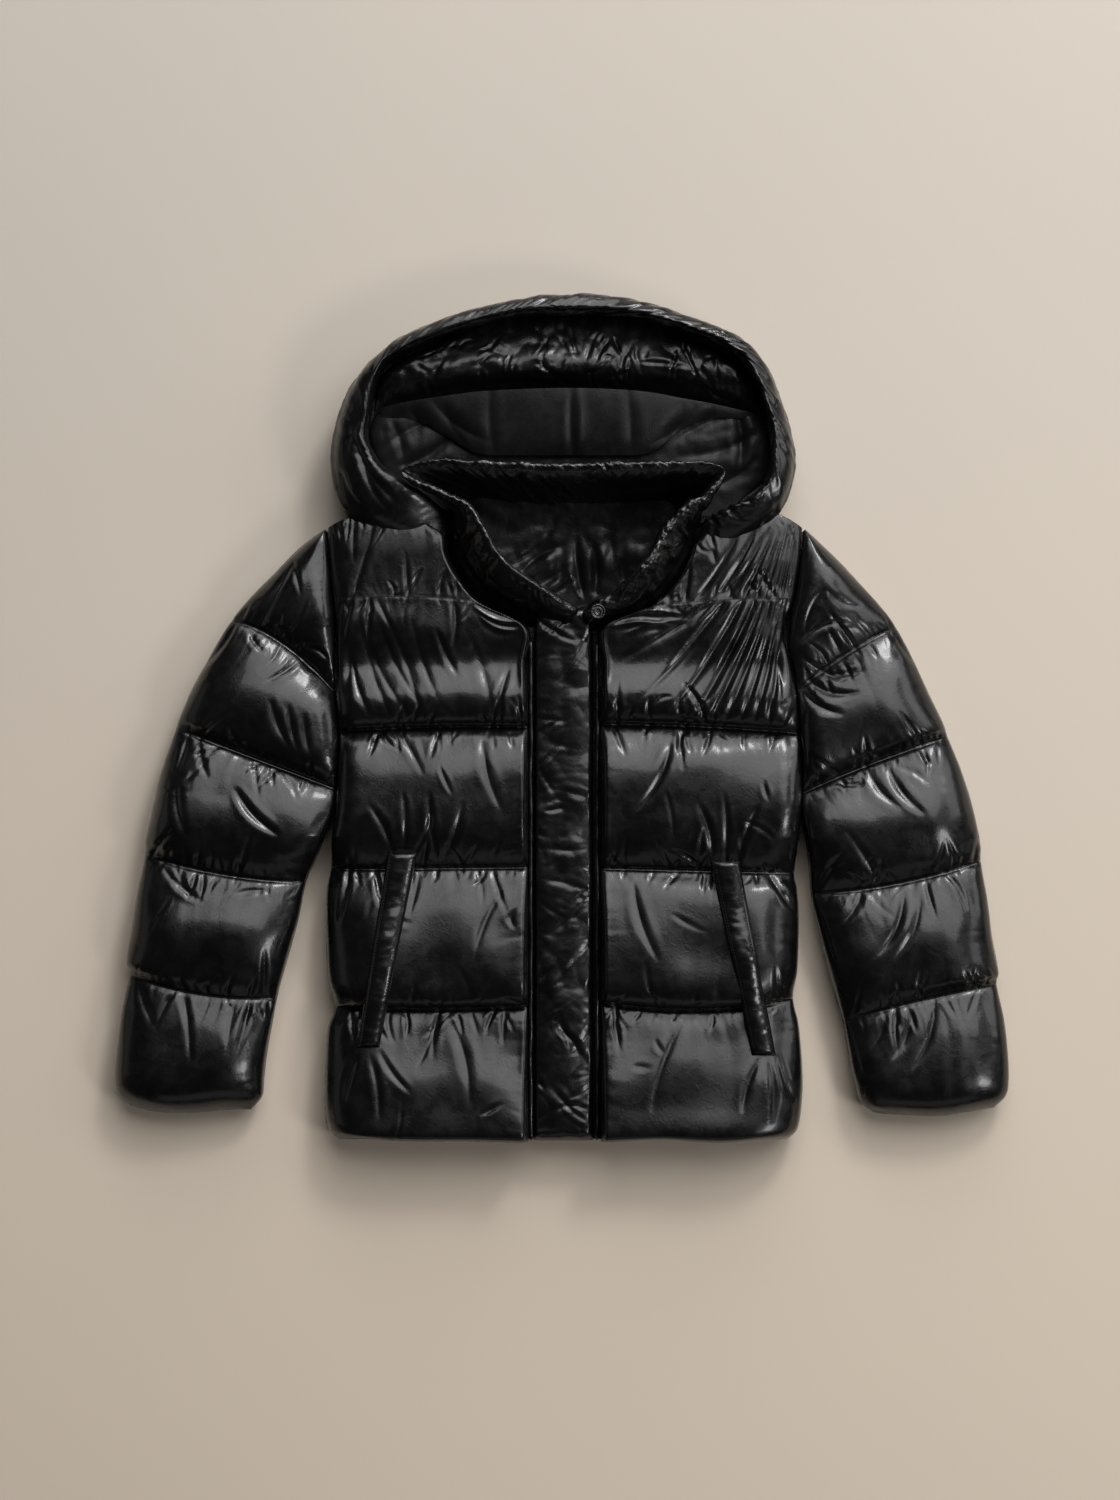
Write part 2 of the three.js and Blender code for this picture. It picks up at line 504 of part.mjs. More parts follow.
// A solid through closed rings of points that follow each other, shut at both ends.
function solidThroughRings(rings) {
  const sides = rings[0].length;
  const points = rings.flat();
  const faces = [];
  for (let i = 0; i + 1 < rings.length; i++) {
    for (let j = 0; j < sides; j++) {
      const a = i * sides + j;
      const b = i * sides + ((j + 1) % sides);
      faces.push([a, b, b + sides], [a, b + sides, a + sides]);
    }
  }
  const last = (rings.length - 1) * sides;
  const startMiddle = points.length;
  for (const ring of [rings[0], rings[rings.length - 1]]) {
    points.push([0, 1, 2].map((axis) => ring.reduce((sum, p) => sum + p[axis], 0) / sides));
  }
  for (let j = 0; j < sides; j++) {
    const next = (j + 1) % sides;
    faces.push([next, j, startMiddle], [last + j, last + next, startMiddle + 1]);
  }
  return geometryOf(points, faces);
}

// The same closed outline at several heights, each drawn in a little from the first. The
// outline is folded in two at its first point, and rungs across it shut both ends.
function layeredSolid(outline, layers) {
  const rings = layers.map(({ z, inset }) => insetOutline(outline, inset).map((p) => [...p, z]));
  const sides = outline.length;
  const faces = [];
  for (let i = 0; i + 1 < rings.length; i++) {
    for (let j = 0; j < sides; j++) {
      const a = i * sides + j;
      const b = i * sides + ((j + 1) % sides);
      faces.push([a, b, b + sides], [a, b + sides, a + sides]);
    }
  }
  const top = (rings.length - 1) * sides;
  for (let a = 0, b = sides - 1; a < b; a++, b--) {
    faces.push([a + 1, a, b], [top + a, top + a + 1, top + b]);
    if (a + 1 < b - 1) {
      faces.push([b - 1, a + 1, b], [top + a + 1, top + b - 1, top + b]);
    }
  }
  return geometryOf(rings.flat(), faces);
}

// An outline moved inwards along the mean of the normals at each point's two sides.
function insetOutline(outline, distance) {
  const area = planArea(outline, [...outline.keys()]);
  const way = area > 0 ? 1 : -1;
  return outline.map(([x, y], i) => {
    const before = outline[(i + outline.length - 1) % outline.length];
    const after = outline[(i + 1) % outline.length];
    const [alongX, alongY] = [after[0] - before[0], after[1] - before[1]];
    const long = Math.hypot(alongX, alongY);
    return [x - (way * distance * alongY) / long, y + (way * distance * alongX) / long];
  });
}

// Quilted pieces

// The rows of a table that have a seam, as places along it.
const seamPlaces = (table) => table.flatMap((row, i) => (row.seam === undefined ? [] : [i]));

// The two edges of a quilted piece in plan. A sleeve's inner edge never crosses its armhole.
const outerEdge = (table, place) => [column(table, "outX", place), column(table, "outY", place)];
function innerEdge(table, place) {
  const [x, y] = [column(table, "inX", place), column(table, "inY", place)];
  if (!table.besideX) return [x, y];
  const beside = table.besideX(y);
  return [Math.sign(beside) * Math.max(Math.abs(x), Math.abs(beside)), y];
}

// A point of a quilted piece's outer side. across: 0 at the outer edge to 1 at the inner one.
// place: along the table. bridge: the least share of the filling's height, for what lies on it.
function quiltedPoint(table, folds, across, place, bridge = 0) {
  const [outX, outY] = outerEdge(table, place);
  const [inX, inY] = innerEdge(table, place);
  const bow = column(table, "bow", place) * 4 * across * (1 - across);
  const [x, y] = [mix(outX, inX, across), mix(outY, inY, across) + bow];
  const seams = seamPlaces(table);
  const k = clamp(
    seams.findIndex((seam) => seam > place) - 1,
    0,
    seams.length - 2,
  );
  const baffle = place >= seams[seams.length - 1] ? seams.length - 2 : k;
  const [low, high] = [seams[baffle], seams[baffle + 1]];
  const t = (place - low) / (high - low);
  const seamWall = mix(table[low].seam, table[high].seam, t);
  const share = Math.max(puffed(t), bridge);
  const height = mix(seamWall, table[low].loft, share);
  const width = Math.hypot(inX - outX, inY - outY);
  const sewn = straightColumn(table, "sewn", place);
  const outSewn = table.besideX ? 0 : sewn;
  const inSewn = table.besideX ? sewn : 1;
  const edges = [
    [across * width, outSewn],
    [(1 - across) * width, inSewn],
  ];
  let wall = height;
  for (const [distance, joined] of edges) {
    const edge = Math.min(mix(FREE_EDGE, SEWN_EDGE, joined), seamWall);
    const reach = Math.min(mix(FREE_ROUNDING, SEWN_ROUNDING, joined), width / 2);
    wall = edge + (wall - edge) * rounded(distance, reach);
  }
  const lowered = foldDepth(folds, x, y) * clamp((wall - FREE_EDGE) / height, 0, 1);
  return [x, y, INSIDE_Z + Math.max(wall - lowered, FREE_EDGE)];
}

function placesAlong(table) {
  const seams = seamPlaces(table);
  const places = seams
    .slice(0, -1)
    .flatMap((low, k) => BAFFLE_STEPS.map((t) => mix(low, seams[k + 1], t)));
  return [...places, seams[seams.length - 1]];
}

const quiltedWall = (table, folds, steps) =>
  wallOnPlane(
    placesAlong(table).map((place) =>
      steps.map((across) => quiltedPoint(table, folds, across, place)),
    ),
    INSIDE_Z,
  );

// One edge of a quilted piece in plan, at the same places as its mesh.
const edgeOf = (table, side) =>
  placesAlong(table).map((place) => (side === "out" ? outerEdge : innerEdge)(table, place));

// A sleeve's table that knows the side of the front it is sewn to.
const ARMHOLE_GAP = SEAM_GAP + 0.5;
function withArmhole(table, front) {
  const armhole = edgeOf(front, "out");
  const away = Math.sign(table[0].outX) * ARMHOLE_GAP;
  const besideX = (y) => {
    const i = clamp(armhole.findIndex((point) => point[1] > y), 1, armhole.length - 1);
    const [low, high] = [armhole[i - 1], armhole[i]];
    return mix(low[0], high[0], (y - low[1]) / (high[1] - low[1])) + away;
  };
  const rows = table.map((row) =>
    row.atY === undefined ? row : { ...row, inX: besideX(row.atY), inY: row.atY },
  );
  rows.besideX = besideX;
  return rows;
}

// Linings: a wall whose height above its plain inside is a smooth function of the plan

const SHORT_ROW_STEPS = 20;
function liningGrid(table, folds, rowsBetween) {
  const count = (table.length - 1) * rowsBetween;
  return Array.from({ length: count + 1 }, (_, i) => {
    const place = i / rowsBetween;
    const y = column(table, "y", place);
    const [fromX, toX] = [column(table, "fromX", place), column(table, "toX", place)];
    const [height, arch] = [column(table, "height", place), column(table, "arch", place)];
    return Array.from({ length: SHORT_ROW_STEPS + 1 }, (_, j) => {
      const across = j / SHORT_ROW_STEPS;
      const x = mix(fromX, toX, across);
      const lifted = y + arch * 4 * across * (1 - across);
      const edge = rounded(Math.min(across, 1 - across) * (toX - fromX), SEWN_ROUNDING);
      const wall = FREE_EDGE + (height - FREE_EDGE) * edge - foldDepth(folds, x, lifted) * edge;
      return [x, lifted, INSIDE_Z + Math.max(wall, FREE_EDGE)];
    });
  });
}

// Building the group

const jacket = new THREE.Group();
jacket.name = "puffer_jacket";
const add = (name, geometry, material) => {
  const mesh = new THREE.Mesh(geometry, material);
  mesh.name = name;
  jacket.add(mesh);
};

const rightSleeve = withArmhole(RIGHT_SLEEVE, RIGHT_FRONT);
const leftSleeve = withArmhole(LEFT_SLEEVE, LEFT_FRONT);
add("front_panel_right", quiltedWall(RIGHT_FRONT, RIGHT_FRONT_FOLDS, WIDE_STEPS), shellNylon());
add("front_panel_left", quiltedWall(LEFT_FRONT, LEFT_FRONT_FOLDS, WIDE_STEPS), shellNylon());
const rightUpper = quiltedWall(rightSleeve, RIGHT_SLEEVE_FOLDS, NARROW_STEPS);
const leftUpper = quiltedWall(leftSleeve, LEFT_SLEEVE_FOLDS, NARROW_STEPS);
add("sleeve_right_upper", rightUpper, shellNylon());
add("sleeve_left_upper", leftUpper, shellNylon());

// The back layer: flat where it rests, with rounded sides.
const BACK_LAYERS = [
  { z: 0, inset: 15 },
  { z: 3, inset: 7 },
  { z: 11, inset: 1.5 },
  { z: BACK_LAYER, inset: 0 },
];
const BACK_TOP_Y = HOOD_SEAM_Y - SEAM_GAP;
const rightSide = edgeOf(RIGHT_FRONT, "out");
const leftSide = edgeOf(LEFT_FRONT, "out");
const backOutline = [
  ...leftSide,
  [206, BACK_TOP_Y],
  [-206, BACK_TOP_Y],
  ...rightSide.reverse(),
];
add("back_panel", layeredSolid(backOutline, BACK_LAYERS), shellNylon());

const CUFF_STEPS = [0.07, 0.16, 0.29, 0.43, 0.57, 0.71, 0.84, 0.93];
const UNDER_SLEEVES = { sleeve_right_under: rightSleeve, sleeve_left_under: leftSleeve };
for (const [name, table] of Object.entries(UNDER_SLEEVES)) {
  const outer = edgeOf(table, "out");
  const inner = edgeOf(table, "in");
  const cuff = CUFF_STEPS.map((across) =>
    quiltedPoint(table, [], across, table.length - 1).slice(0, 2),
  );
  add(name, layeredSolid([...outer, ...cuff, ...inner.reverse()], BACK_LAYERS), shellNylon());
}

const HOOD_STEPS = 2;
const hoodPlaces = Array.from(
  { length: (HOOD_EDGE.length - 1) * HOOD_STEPS + 1 },
  (_, i) => i / HOOD_STEPS,
);
const hoodBackOutline = [
  ...hoodPlaces
    .map((place) => [column(HOOD_EDGE, "outX", place), column(HOOD_EDGE, "outY", place)])
    .filter(([, y]) => y > HOOD_SEAM_Y + 4),
  [206, HOOD_SEAM_Y],
  [-206, HOOD_SEAM_Y],
];
add("hood_back", layeredSolid(hoodBackOutline, BACK_LAYERS), shellNylon());

// The hood's edge: round-topped, from its outer foot over to its inner one. across: 0 outside
// to 1 inside. up: share of its height.
const HOOD_EDGE_SECTION = [
  { across: 0, up: 0 },
  { across: -0.02, up: 0.35 },
  { across: 0.02, up: 0.66 },
  { across: 0.14, up: 0.88 },
  { across: 0.34, up: 0.98 },
  { across: 0.58, up: 1 },
  { across: 0.8, up: 0.92 },
  { across: 0.95, up: 0.74 },
  { across: 1, up: 0.5 },
  { across: 0.97, up: 0 },
];
const hoodEdgeRings = hoodPlaces.map((place) => {
  const [outX, outY] = [column(HOOD_EDGE, "outX", place), column(HOOD_EDGE, "outY", place)];
  const [inX, inY] = [column(HOOD_EDGE, "inX", place), column(HOOD_EDGE, "inY", place)];
  const top = column(HOOD_EDGE, "top", place);
  return HOOD_EDGE_SECTION.map(({ across, up }) => [
    mix(outX, inX, across),
    mix(outY, inY, across),
    mix(INSIDE_Z, top, up),
  ]);
});
add("hood_edge", solidThroughRings(hoodEdgeRings), shellNylon());

// The collar: a leaning padded wall with a round upper edge.
const COLLAR_STEPS = 2;
const collarRings = Array.from({ length: (COLLAR.length - 1) * COLLAR_STEPS + 1 }, (_, i) => {
  const place = i / COLLAR_STEPS;
  const at = (name, where) => column(COLLAR, name, clamp(where, 0, COLLAR.length - 1));
  const normal = (xName, yName) => {
    const alongX = at(xName, place + 0.5) - at(xName, place - 0.5);
    const alongY = at(yName, place + 0.5) - at(yName, place - 0.5);
    const long = Math.hypot(alongX, alongY);
    return [-alongY / long, alongX / long];
  };
  const baseNormal = normal("baseX", "baseY");
  const topNormal = normal("topX", "topY");
  const half = at("thick", place) / 2;
  const point = (aside, up) => {
    const normalX = mix(baseNormal[0], topNormal[0], up);
    const normalY = mix(baseNormal[1], topNormal[1], up);
    return [
      mix(at("baseX", place), at("topX", place), up) + normalX * aside,
      mix(at("baseY", place), at("topY", place), up) + normalY * aside,
      mix(INSIDE_Z, at("topZ", place), up),
    ];
  };
  return [
    point(-half, 0),
    point(-half, 0.3),
    point(-half, 0.6),
    point(-half * 0.95, 0.82),
    point(-half * 0.6, 0.95),
    point(0, 1),
    point(half * 0.6, 0.95),
    point(half * 0.95, 0.82),
    point(half, 0.6),
    point(half, 0.3),
    point(half, 0),
  ];
});
add("collar", solidThroughRings(collarRings), shellNylon());

const liningWall = (table, folds, rowsBetween) =>
  wallOnPlane(liningGrid(table, folds, rowsBetween), INSIDE_Z);
add("hood_lining_upper", liningWall(HOOD_LINING_UPPER, [], 1), liningNylon());
add("hood_lining_lower", liningWall(HOOD_LINING_LOWER, [], 1), liningNylon());
add("neck_lining", liningWall(NECK_LINING, NECK_LINING_FOLDS, 2), liningNylon());

// The lower hood lining's height at a place that the band lies over.
function lowerLiningZ(x, y) {
  const table = HOOD_LINING_LOWER;
  const i = clamp(table.findIndex((row) => row.y > y) - 1, 0, table.length - 2);
  const t = (y - table[i].y) / (table[i + 1].y - table[i].y);
  const fromX = mix(table[i].fromX, table[i + 1].fromX, t);
  const toX = mix(table[i].toX, table[i + 1].toX, t);
  const edge = rounded(Math.min(x - fromX, toX - x), SEWN_ROUNDING);
  const height = Math.max(table[i].height, table[i + 1].height);
  return INSIDE_Z + FREE_EDGE + (height - FREE_EDGE) * edge;
}
const BAND_ROWS = [0, 0.12, 0.3, 0.5, 0.7, 0.88, 1];
const BAND_COLUMNS = 20;
// How much of its rise the band keeps at its lower edge.
const BAND_LOW_RISE = 0.25;
const bandGrid = (lift) =>
  BAND_ROWS.map((down) =>
    Array.from({ length: BAND_COLUMNS + 1 }, (_, j) => {
      const place = (j / BAND_COLUMNS) * (HOOD_BAND.length - 1);
      const x = column(HOOD_BAND, "x", place);
      const y = mix(column(HOOD_BAND, "lowY", place), column(HOOD_BAND, "highY", place), down);
      const lifted = mix(BAND_LOW_RISE, 1, Math.sin((Math.PI / 2) * down));
      const rise = column(HOOD_BAND, "rise", place) * lifted;
      return [x, y, lowerLiningZ(x, y) + SEAM_GAP + rise + lift];
    }),
  );
add("hood_lining_band", wallBetween(bandGrid(BAND_THICK), bandGrid(0)), liningNylon());

// The placket: a soft strip with slanted creases across it.
const PLACKET_ACROSS = [0, 0.04, 0.12, 0.3, 0.5, 0.7, 0.88, 0.96, 1];
const PLACKET_STEP = 11;
const placketRows = Math.round((PLACKET.topY - HEM_Y) / PLACKET_STEP);
const CREASE_WIDTH = 9;
const placketGrid = Array.from({ length: placketRows + 1 }, (_, i) => {
  const y = mix(HEM_Y + 1, PLACKET.topY, i / placketRows);
  return PLACKET_ACROSS.map((across) => {
    const x = mix(PLACKET.fromX, PLACKET.toX, across);
    const fromSide = Math.min(x - PLACKET.fromX, PLACKET.toX - x);
    const fromEnd = Math.min(y - HEM_Y, PLACKET.topY - y) + 1;
    const side = rounded(fromSide, PLACKET.rounding);
    const end = rounded(fromEnd, PLACKET.rounding * 2);
    let wall = PLACKET.height + PLACKET.crown * 4 * across * (1 - across);
    for (const fold of PLACKET_FOLDS) {
      const away = y - fold.y - fold.climb * (0.5 - across);
      wall += fold.height * Math.exp(-((away / CREASE_WIDTH) ** 2));
    }
    return [x, y, INSIDE_Z + FREE_EDGE + (wall - FREE_EDGE) * side * end];
  });
});
add("placket", wallOnPlane(placketGrid, INSIDE_Z), shellNylon());

// Each piping stands in the seam between a front and the placket. Its bead starts this share of
// a half turn below its middle.
const BEAD_START = 0.36;
const pipingShape = () => {
  const outline = [new THREE.Vector2(-PIPING.stem, 0), new THREE.Vector2(PIPING.stem, 0)];
  for (let i = 0; i <= PIPING.sides; i++) {
    const angle = Math.PI * mix(-BEAD_START, 1 + BEAD_START, i / PIPING.sides);
    const [x, z] = [Math.cos(angle) * PIPING.bead, Math.sin(angle) * PIPING.bead];
    outline.push(new THREE.Vector2(x, PIPING.height + z));
  }
  return new THREE.Shape(outline);
};
for (const { name, x, topY } of PIPINGS) {
  const length = topY - HEM_Y - 1;
  const extrusion = { depth: length, bevelEnabled: false };
  const geometry = new THREE.ExtrudeGeometry(pipingShape(), extrusion);
  // The section's height turns to +Z and its length to -Y.
  geometry.rotateX(Math.PI / 2);
  geometry.translate(x, topY, INSIDE_Z);
  add(name, geometry, shellNylon());
}

// A place in the plan, as across and place of a quilted piece, found by halving steps.
function placeOnPanel(table, x, y) {
  let [across, place] = [0.5, table.length / 2];
  for (let round = 0; round < 40; round++) {
    const [atX, atY] = quiltedPoint(table, [], across, place);
    const width = column(table, "inX", place) - column(table, "outX", place);
    const climb = column(table, "outY", place + 0.5) - column(table, "outY", place - 0.5);
    across = clamp(across + (x - atX) / width, 0, 1);
    place = clamp(place + (0.7 * (y - atY)) / climb, 0.5, table.length - 1.5);
  }
  return [across, place];
}

// A welt: a padded strip that follows the front it is sewn on.
const WELT_ROWS = 18;
const WELT_ACROSS = [0, 0.1, 0.3, 0.5, 0.7, 0.9, 1];
// How far a welt lies above its front, the share of its thickness left at its edges, and the
// share of its length over which its ends are rounded.
const WELT_LIFT = 0.8;
const WELT_EDGE = 0.35;
const WELT_END = 0.06;
for (const pocket of POCKETS) {
  const layer = (lift) =>
    Array.from({ length: WELT_ROWS + 1 }, (_, i) => {
      const down = i / WELT_ROWS;
      const middleX = mix(pocket.topX, pocket.lowX, down);
      const middleY = mix(pocket.topY, pocket.lowY, down);
      const wide = mix(pocket.topWide, pocket.lowWide, down);
      const endRound = rounded(Math.min(down, 1 - down), WELT_END);
      return WELT_ACROSS.map((across) => {
        const x = middleX + (across - 0.5) * wide;
        const [panelAcross, place] = placeOnPanel(pocket.table, x, middleY);
        const [, , z] = quiltedPoint(pocket.table, [], panelAcross, place, WELT_BRIDGE);
        const sideRound = rounded(Math.min(across, 1 - across), 0.5);
        const crown = mix(WELT_EDGE, 1, sideRound * endRound);
        return [x, middleY, z + WELT_LIFT + lift * crown];
      });
    });
  add(pocket.name, wallBetween(layer(WELT_THICK), layer(0)), shellNylon());
}

// The snap on the collar's left front corner: a cap with a rim and a small boss. lift: how far
// the snap's flat back stands above the rounded corner under it.
const SNAP = { x: 35, y: 106, radius: 7.4, thick: 2.4, rim: 0.7, boss: 3.4, lift: 1.6 };
const SNAP_BEVEL = 0.8;
const SNAP_DISH = 0.4;
const snapProfile = [
  [0, 0],
  [SNAP.radius - SNAP_BEVEL, 0],
  [SNAP.radius, SNAP_BEVEL],
  [SNAP.radius, SNAP.thick],
  [SNAP.radius - 1.2, SNAP.thick + SNAP.rim],
  [SNAP.radius - 2.2, SNAP.thick - SNAP_DISH],
  [SNAP.boss + SNAP_BEVEL, SNAP.thick - SNAP_DISH],
  [SNAP.boss, SNAP.thick + SNAP_DISH],
  [0, SNAP.thick + SNAP.rim],
].map(([radius, z]) => new THREE.Vector2(radius, z));
const SNAP_SIDES = 20;
const snapGeometry = new THREE.LatheGeometry(snapProfile, SNAP_SIDES);
snapGeometry.rotateX(Math.PI / 2);
snapGeometry.translate(SNAP.x, SNAP.y, COLLAR[COLLAR.length - 1].topZ + SNAP.lift);
add("snap_button", snapGeometry, snapMetal());

export default jacket;
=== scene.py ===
"""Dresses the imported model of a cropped, hooded down jacket that lies flat on its back.

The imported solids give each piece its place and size. Here every piece gets its real surface: a
baffle rises between its quilting seams as the down in it does, and the cloth is gathered where it
is sewn. The creases that it takes where it is handled are laid in one by one, and smaller ones
are scattered between them. Lengths in the tables are millimetres; meshes are metres.
"""

from __future__ import annotations

import logging
import math
from collections.abc import Sequence
from dataclasses import dataclass, field
from enum import Enum
from typing import NamedTuple

import bpy
import numpy as np
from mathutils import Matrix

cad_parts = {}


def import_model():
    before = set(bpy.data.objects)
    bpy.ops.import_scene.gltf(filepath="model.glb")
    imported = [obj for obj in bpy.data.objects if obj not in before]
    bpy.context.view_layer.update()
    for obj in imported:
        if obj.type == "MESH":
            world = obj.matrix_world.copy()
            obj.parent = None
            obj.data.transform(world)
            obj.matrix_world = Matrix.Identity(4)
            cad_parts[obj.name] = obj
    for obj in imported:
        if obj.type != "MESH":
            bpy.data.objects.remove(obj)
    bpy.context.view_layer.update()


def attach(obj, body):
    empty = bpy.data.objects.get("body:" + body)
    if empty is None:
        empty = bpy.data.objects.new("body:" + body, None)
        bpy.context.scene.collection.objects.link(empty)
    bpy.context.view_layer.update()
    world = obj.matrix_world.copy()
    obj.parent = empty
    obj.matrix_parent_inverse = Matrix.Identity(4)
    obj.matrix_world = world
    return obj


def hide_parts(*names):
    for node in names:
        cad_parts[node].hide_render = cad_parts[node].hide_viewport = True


LOG = logging.getLogger("jacket")
MM = 0.001
BODY = "root"

# Heights above the surface: the back layer's top, the foot of all that lies on it, the hood's edge
BACK_LAYER = 24.0
INSIDE_Z = 24.3
HOOD_TOP = 80.0

# Walls above that foot: at free and sewn edges, beside the armhole, at seams, at the shoulder
FREE_EDGE = 3.0
SEWN_EDGE = 12.0
ARMHOLE_EDGE = 22.0
QUILT_SEAM = 19.0
YOKE_SEAM = 34.0
YOKE_TOP = 30.0

# How far in from an edge its rounding reaches
FREE_ROUNDING = 52.0
SEWN_ROUNDING = 24.0
PLACKET_ROUNDING = 7.0

# Places in the plan
HEM_Y = -422.0
HOOD_SEAM_Y = 205.5

# Marks in the tables: a row without a seam, and an end that lies where the armhole is
NO_SEAM = float("nan")
AT_ARMHOLE = float("nan")

Array = np.ndarray
Triple = tuple[float, float, float]


class Section(NamedTuple):
    """One row across a quilted piece, in millimetres: its outer and inner end, how far its middle
    lies above the straight line, the wall at a seam, the filling's height above it, and whether
    the edge beside the armhole is sewn there."""

    out_x: float
    out_y: float
    in_x: float
    in_y: float
    bow: float = 0
    seam: float = NO_SEAM
    loft: float = 0
    sewn: float = 0


OUT_Y, IN_X, IN_Y, BOW, SEAM, LOFT, SEWN = range(1, len(Section._fields))


RIGHT_FRONT = (
    Section(-223, -421, -34, -422, 0, FREE_EDGE, 43, 0),
    Section(-234, -411, -34, -412),
    Section(-238, -388, -34, -388),
    Section(-238, -350, -34, -352),
    Section(-235, -310, -34, -312),
    Section(-228, -288, -34, -287, -2, QUILT_SEAM, 42, 0),
    Section(-235, -260, -34, -260),
    Section(-237, -216, -34, -218),
    Section(-236, -172, -34, -174),
    Section(-232, -150, -34, -148, 0, QUILT_SEAM, 42, 0),
    Section(-230, -118, -34, -118, sewn=1),
    Section(-226, -80, -34, -80, sewn=1),
    Section(-223, -35, -34, -35, sewn=1),
    Section(-223, -12, -34, -8, 2, QUILT_SEAM, 40, 1),
    Section(-226, 20, -34, 20, sewn=1),
    Section(-227, 55, -34, 55, sewn=1),
    Section(-226, 90, -34, 92, sewn=1),
    Section(-229, 119, -80, 116, 4, YOKE_SEAM, 34, 1),
    Section(-231, 144, -103, 143, 3, sewn=1),
    Section(-233, 168, -113, 163, 9, sewn=1),
    Section(-234, 190, -114, 180, 22, YOKE_TOP, 0, 1),
)
LEFT_FRONT = (
    Section(224, -421, 38, -422, 0, FREE_EDGE, 43, 0),
    Section(235, -411, 38, -412),
    Section(239, -388, 38, -388),
    Section(240, -350, 38, -350),
    Section(237, -308, 38, -308, -4),
    Section(231, -280, 38, -283, -9, QUILT_SEAM, 42, 0),
    Section(235, -252, 38, -255, -4),
    Section(237, -206, 38, -214),
    Section(235, -172, 38, -174),
    Section(232, -154, 38, -149, 0, QUILT_SEAM, 42, 0),
    Section(236, -118, 38, -118, sewn=1),
    Section(238, -80, 38, -80, sewn=1),
    Section(238, -40, 38, -35, sewn=1),
    Section(236, -14, 38, -5, 2, QUILT_SEAM, 40, 1),
    Section(234, 20, 38, 22, sewn=1),
    Section(230, 50, 38, 55, sewn=1),
    Section(222, 86, 38, 92, sewn=1),
    Section(230, 119, 84, 111, 3, YOKE_SEAM, 34, 1),
    Section(234, 144, 110, 134, 3, sewn=1),
    Section(237, 168, 123, 155, 10, sewn=1),
    Section(239, 190, 128, 170, 26, YOKE_TOP, 0, 1),
)
RIGHT_SLEEVE = (
    Section(-238, 190, AT_ARMHOLE, 187, 0, SEWN_EDGE + 6, 36, 1),
    Section(-262, 173, AT_ARMHOLE, 150, sewn=1),
    Section(-291, 144, AT_ARMHOLE, 108, 3, sewn=1),
    Section(-314, 120, AT_ARMHOLE, 66, 8, sewn=1),
    Section(-331, 99, AT_ARMHOLE, 27, 12, QUILT_SEAM, 38, 1),
    Section(-350, 69, AT_ARMHOLE, 2, 6, sewn=1),
    Section(-369, 33, AT_ARMHOLE, -28, 2, sewn=1),
    Section(-382, 5, AT_ARMHOLE, -52, sewn=1),
    Section(-387, -9, AT_ARMHOLE, -70, 0, QUILT_SEAM, 38, 1),
    Section(-401, -50, AT_ARMHOLE, -94, sewn=1),
    Section(-410, -88, -238, -118, sewn=1),
    Section(-417, -118, -249, -145, -3),
    Section(-418, -136, -257, -163, -6, QUILT_SEAM, 36, 0),
    Section(-426, -176, -264, -198, -4),
    Section(-432, -212, -272, -228, -4),
    Section(-437, -242, -280, -256, -6),
    Section(-434, -256, -286, -279, -8, QUILT_SEAM, 32, 0),
    Section(-442, -296, -291, -306, -4),
    Section(-446, -332, -296, -334, -4),
    Section(-448, -358, -299, -360, -5),
    Section(-445, -375, -301, -378, -6),
    Section(-433, -387, -312, -391, -6, FREE_EDGE, 0, 0),
)
LEFT_SLEEVE = (
    Section(243, 190, AT_ARMHOLE, 187, 0, SEWN_EDGE + 6, 36, 1),
    Section(264, 171, AT_ARMHOLE, 156, sewn=1),
    Section(292, 142, AT_ARMHOLE, 110, 1, sewn=1),
    Section(318, 114, AT_ARMHOLE, 70, 3, sewn=1),
    Section(334, 92, AT_ARMHOLE, 28, 5, QUILT_SEAM, 38, 1),
    Section(352, 58, AT_ARMHOLE, 2, 3, sewn=1),
    Section(369, 22, AT_ARMHOLE, -28, 3, sewn=1),
    Section(382, -6, AT_ARMHOLE, -54, 3, sewn=1),
    Section(386, -18, AT_ARMHOLE, -74, 3, QUILT_SEAM, 38, 1),
    Section(401, -56, AT_ARMHOLE, -96, 2, sewn=1),
    Section(413, -96, 243, -120, sewn=1),
    Section(419, -126, 247, -150, -3),
    Section(419, -142, 249, -175, -6, QUILT_SEAM, 36, 0),
    Section(426, -184, 257, -212, -3),
    Section(431, -220, 265, -245),
    Section(437, -252, 274, -278, 2),
    Section(435, -266, 281, -302, 3, QUILT_SEAM, 32, 0),
    Section(442, -300, 285, -325),
    Section(446, -334, 289, -350, -3),
    Section(447, -360, 293, -366, -5),
    Section(444, -377, 299, -384, -6),
    Section(432, -389, 312, -394, -6, FREE_EDGE, 0, 0),
)


class HoodSection(NamedTuple):
    """One section of the hood's padded edge: outer foot, inner foot and height."""

    out_x: float
    out_y: float
    in_x: float
    in_y: float
    top: float = HOOD_TOP


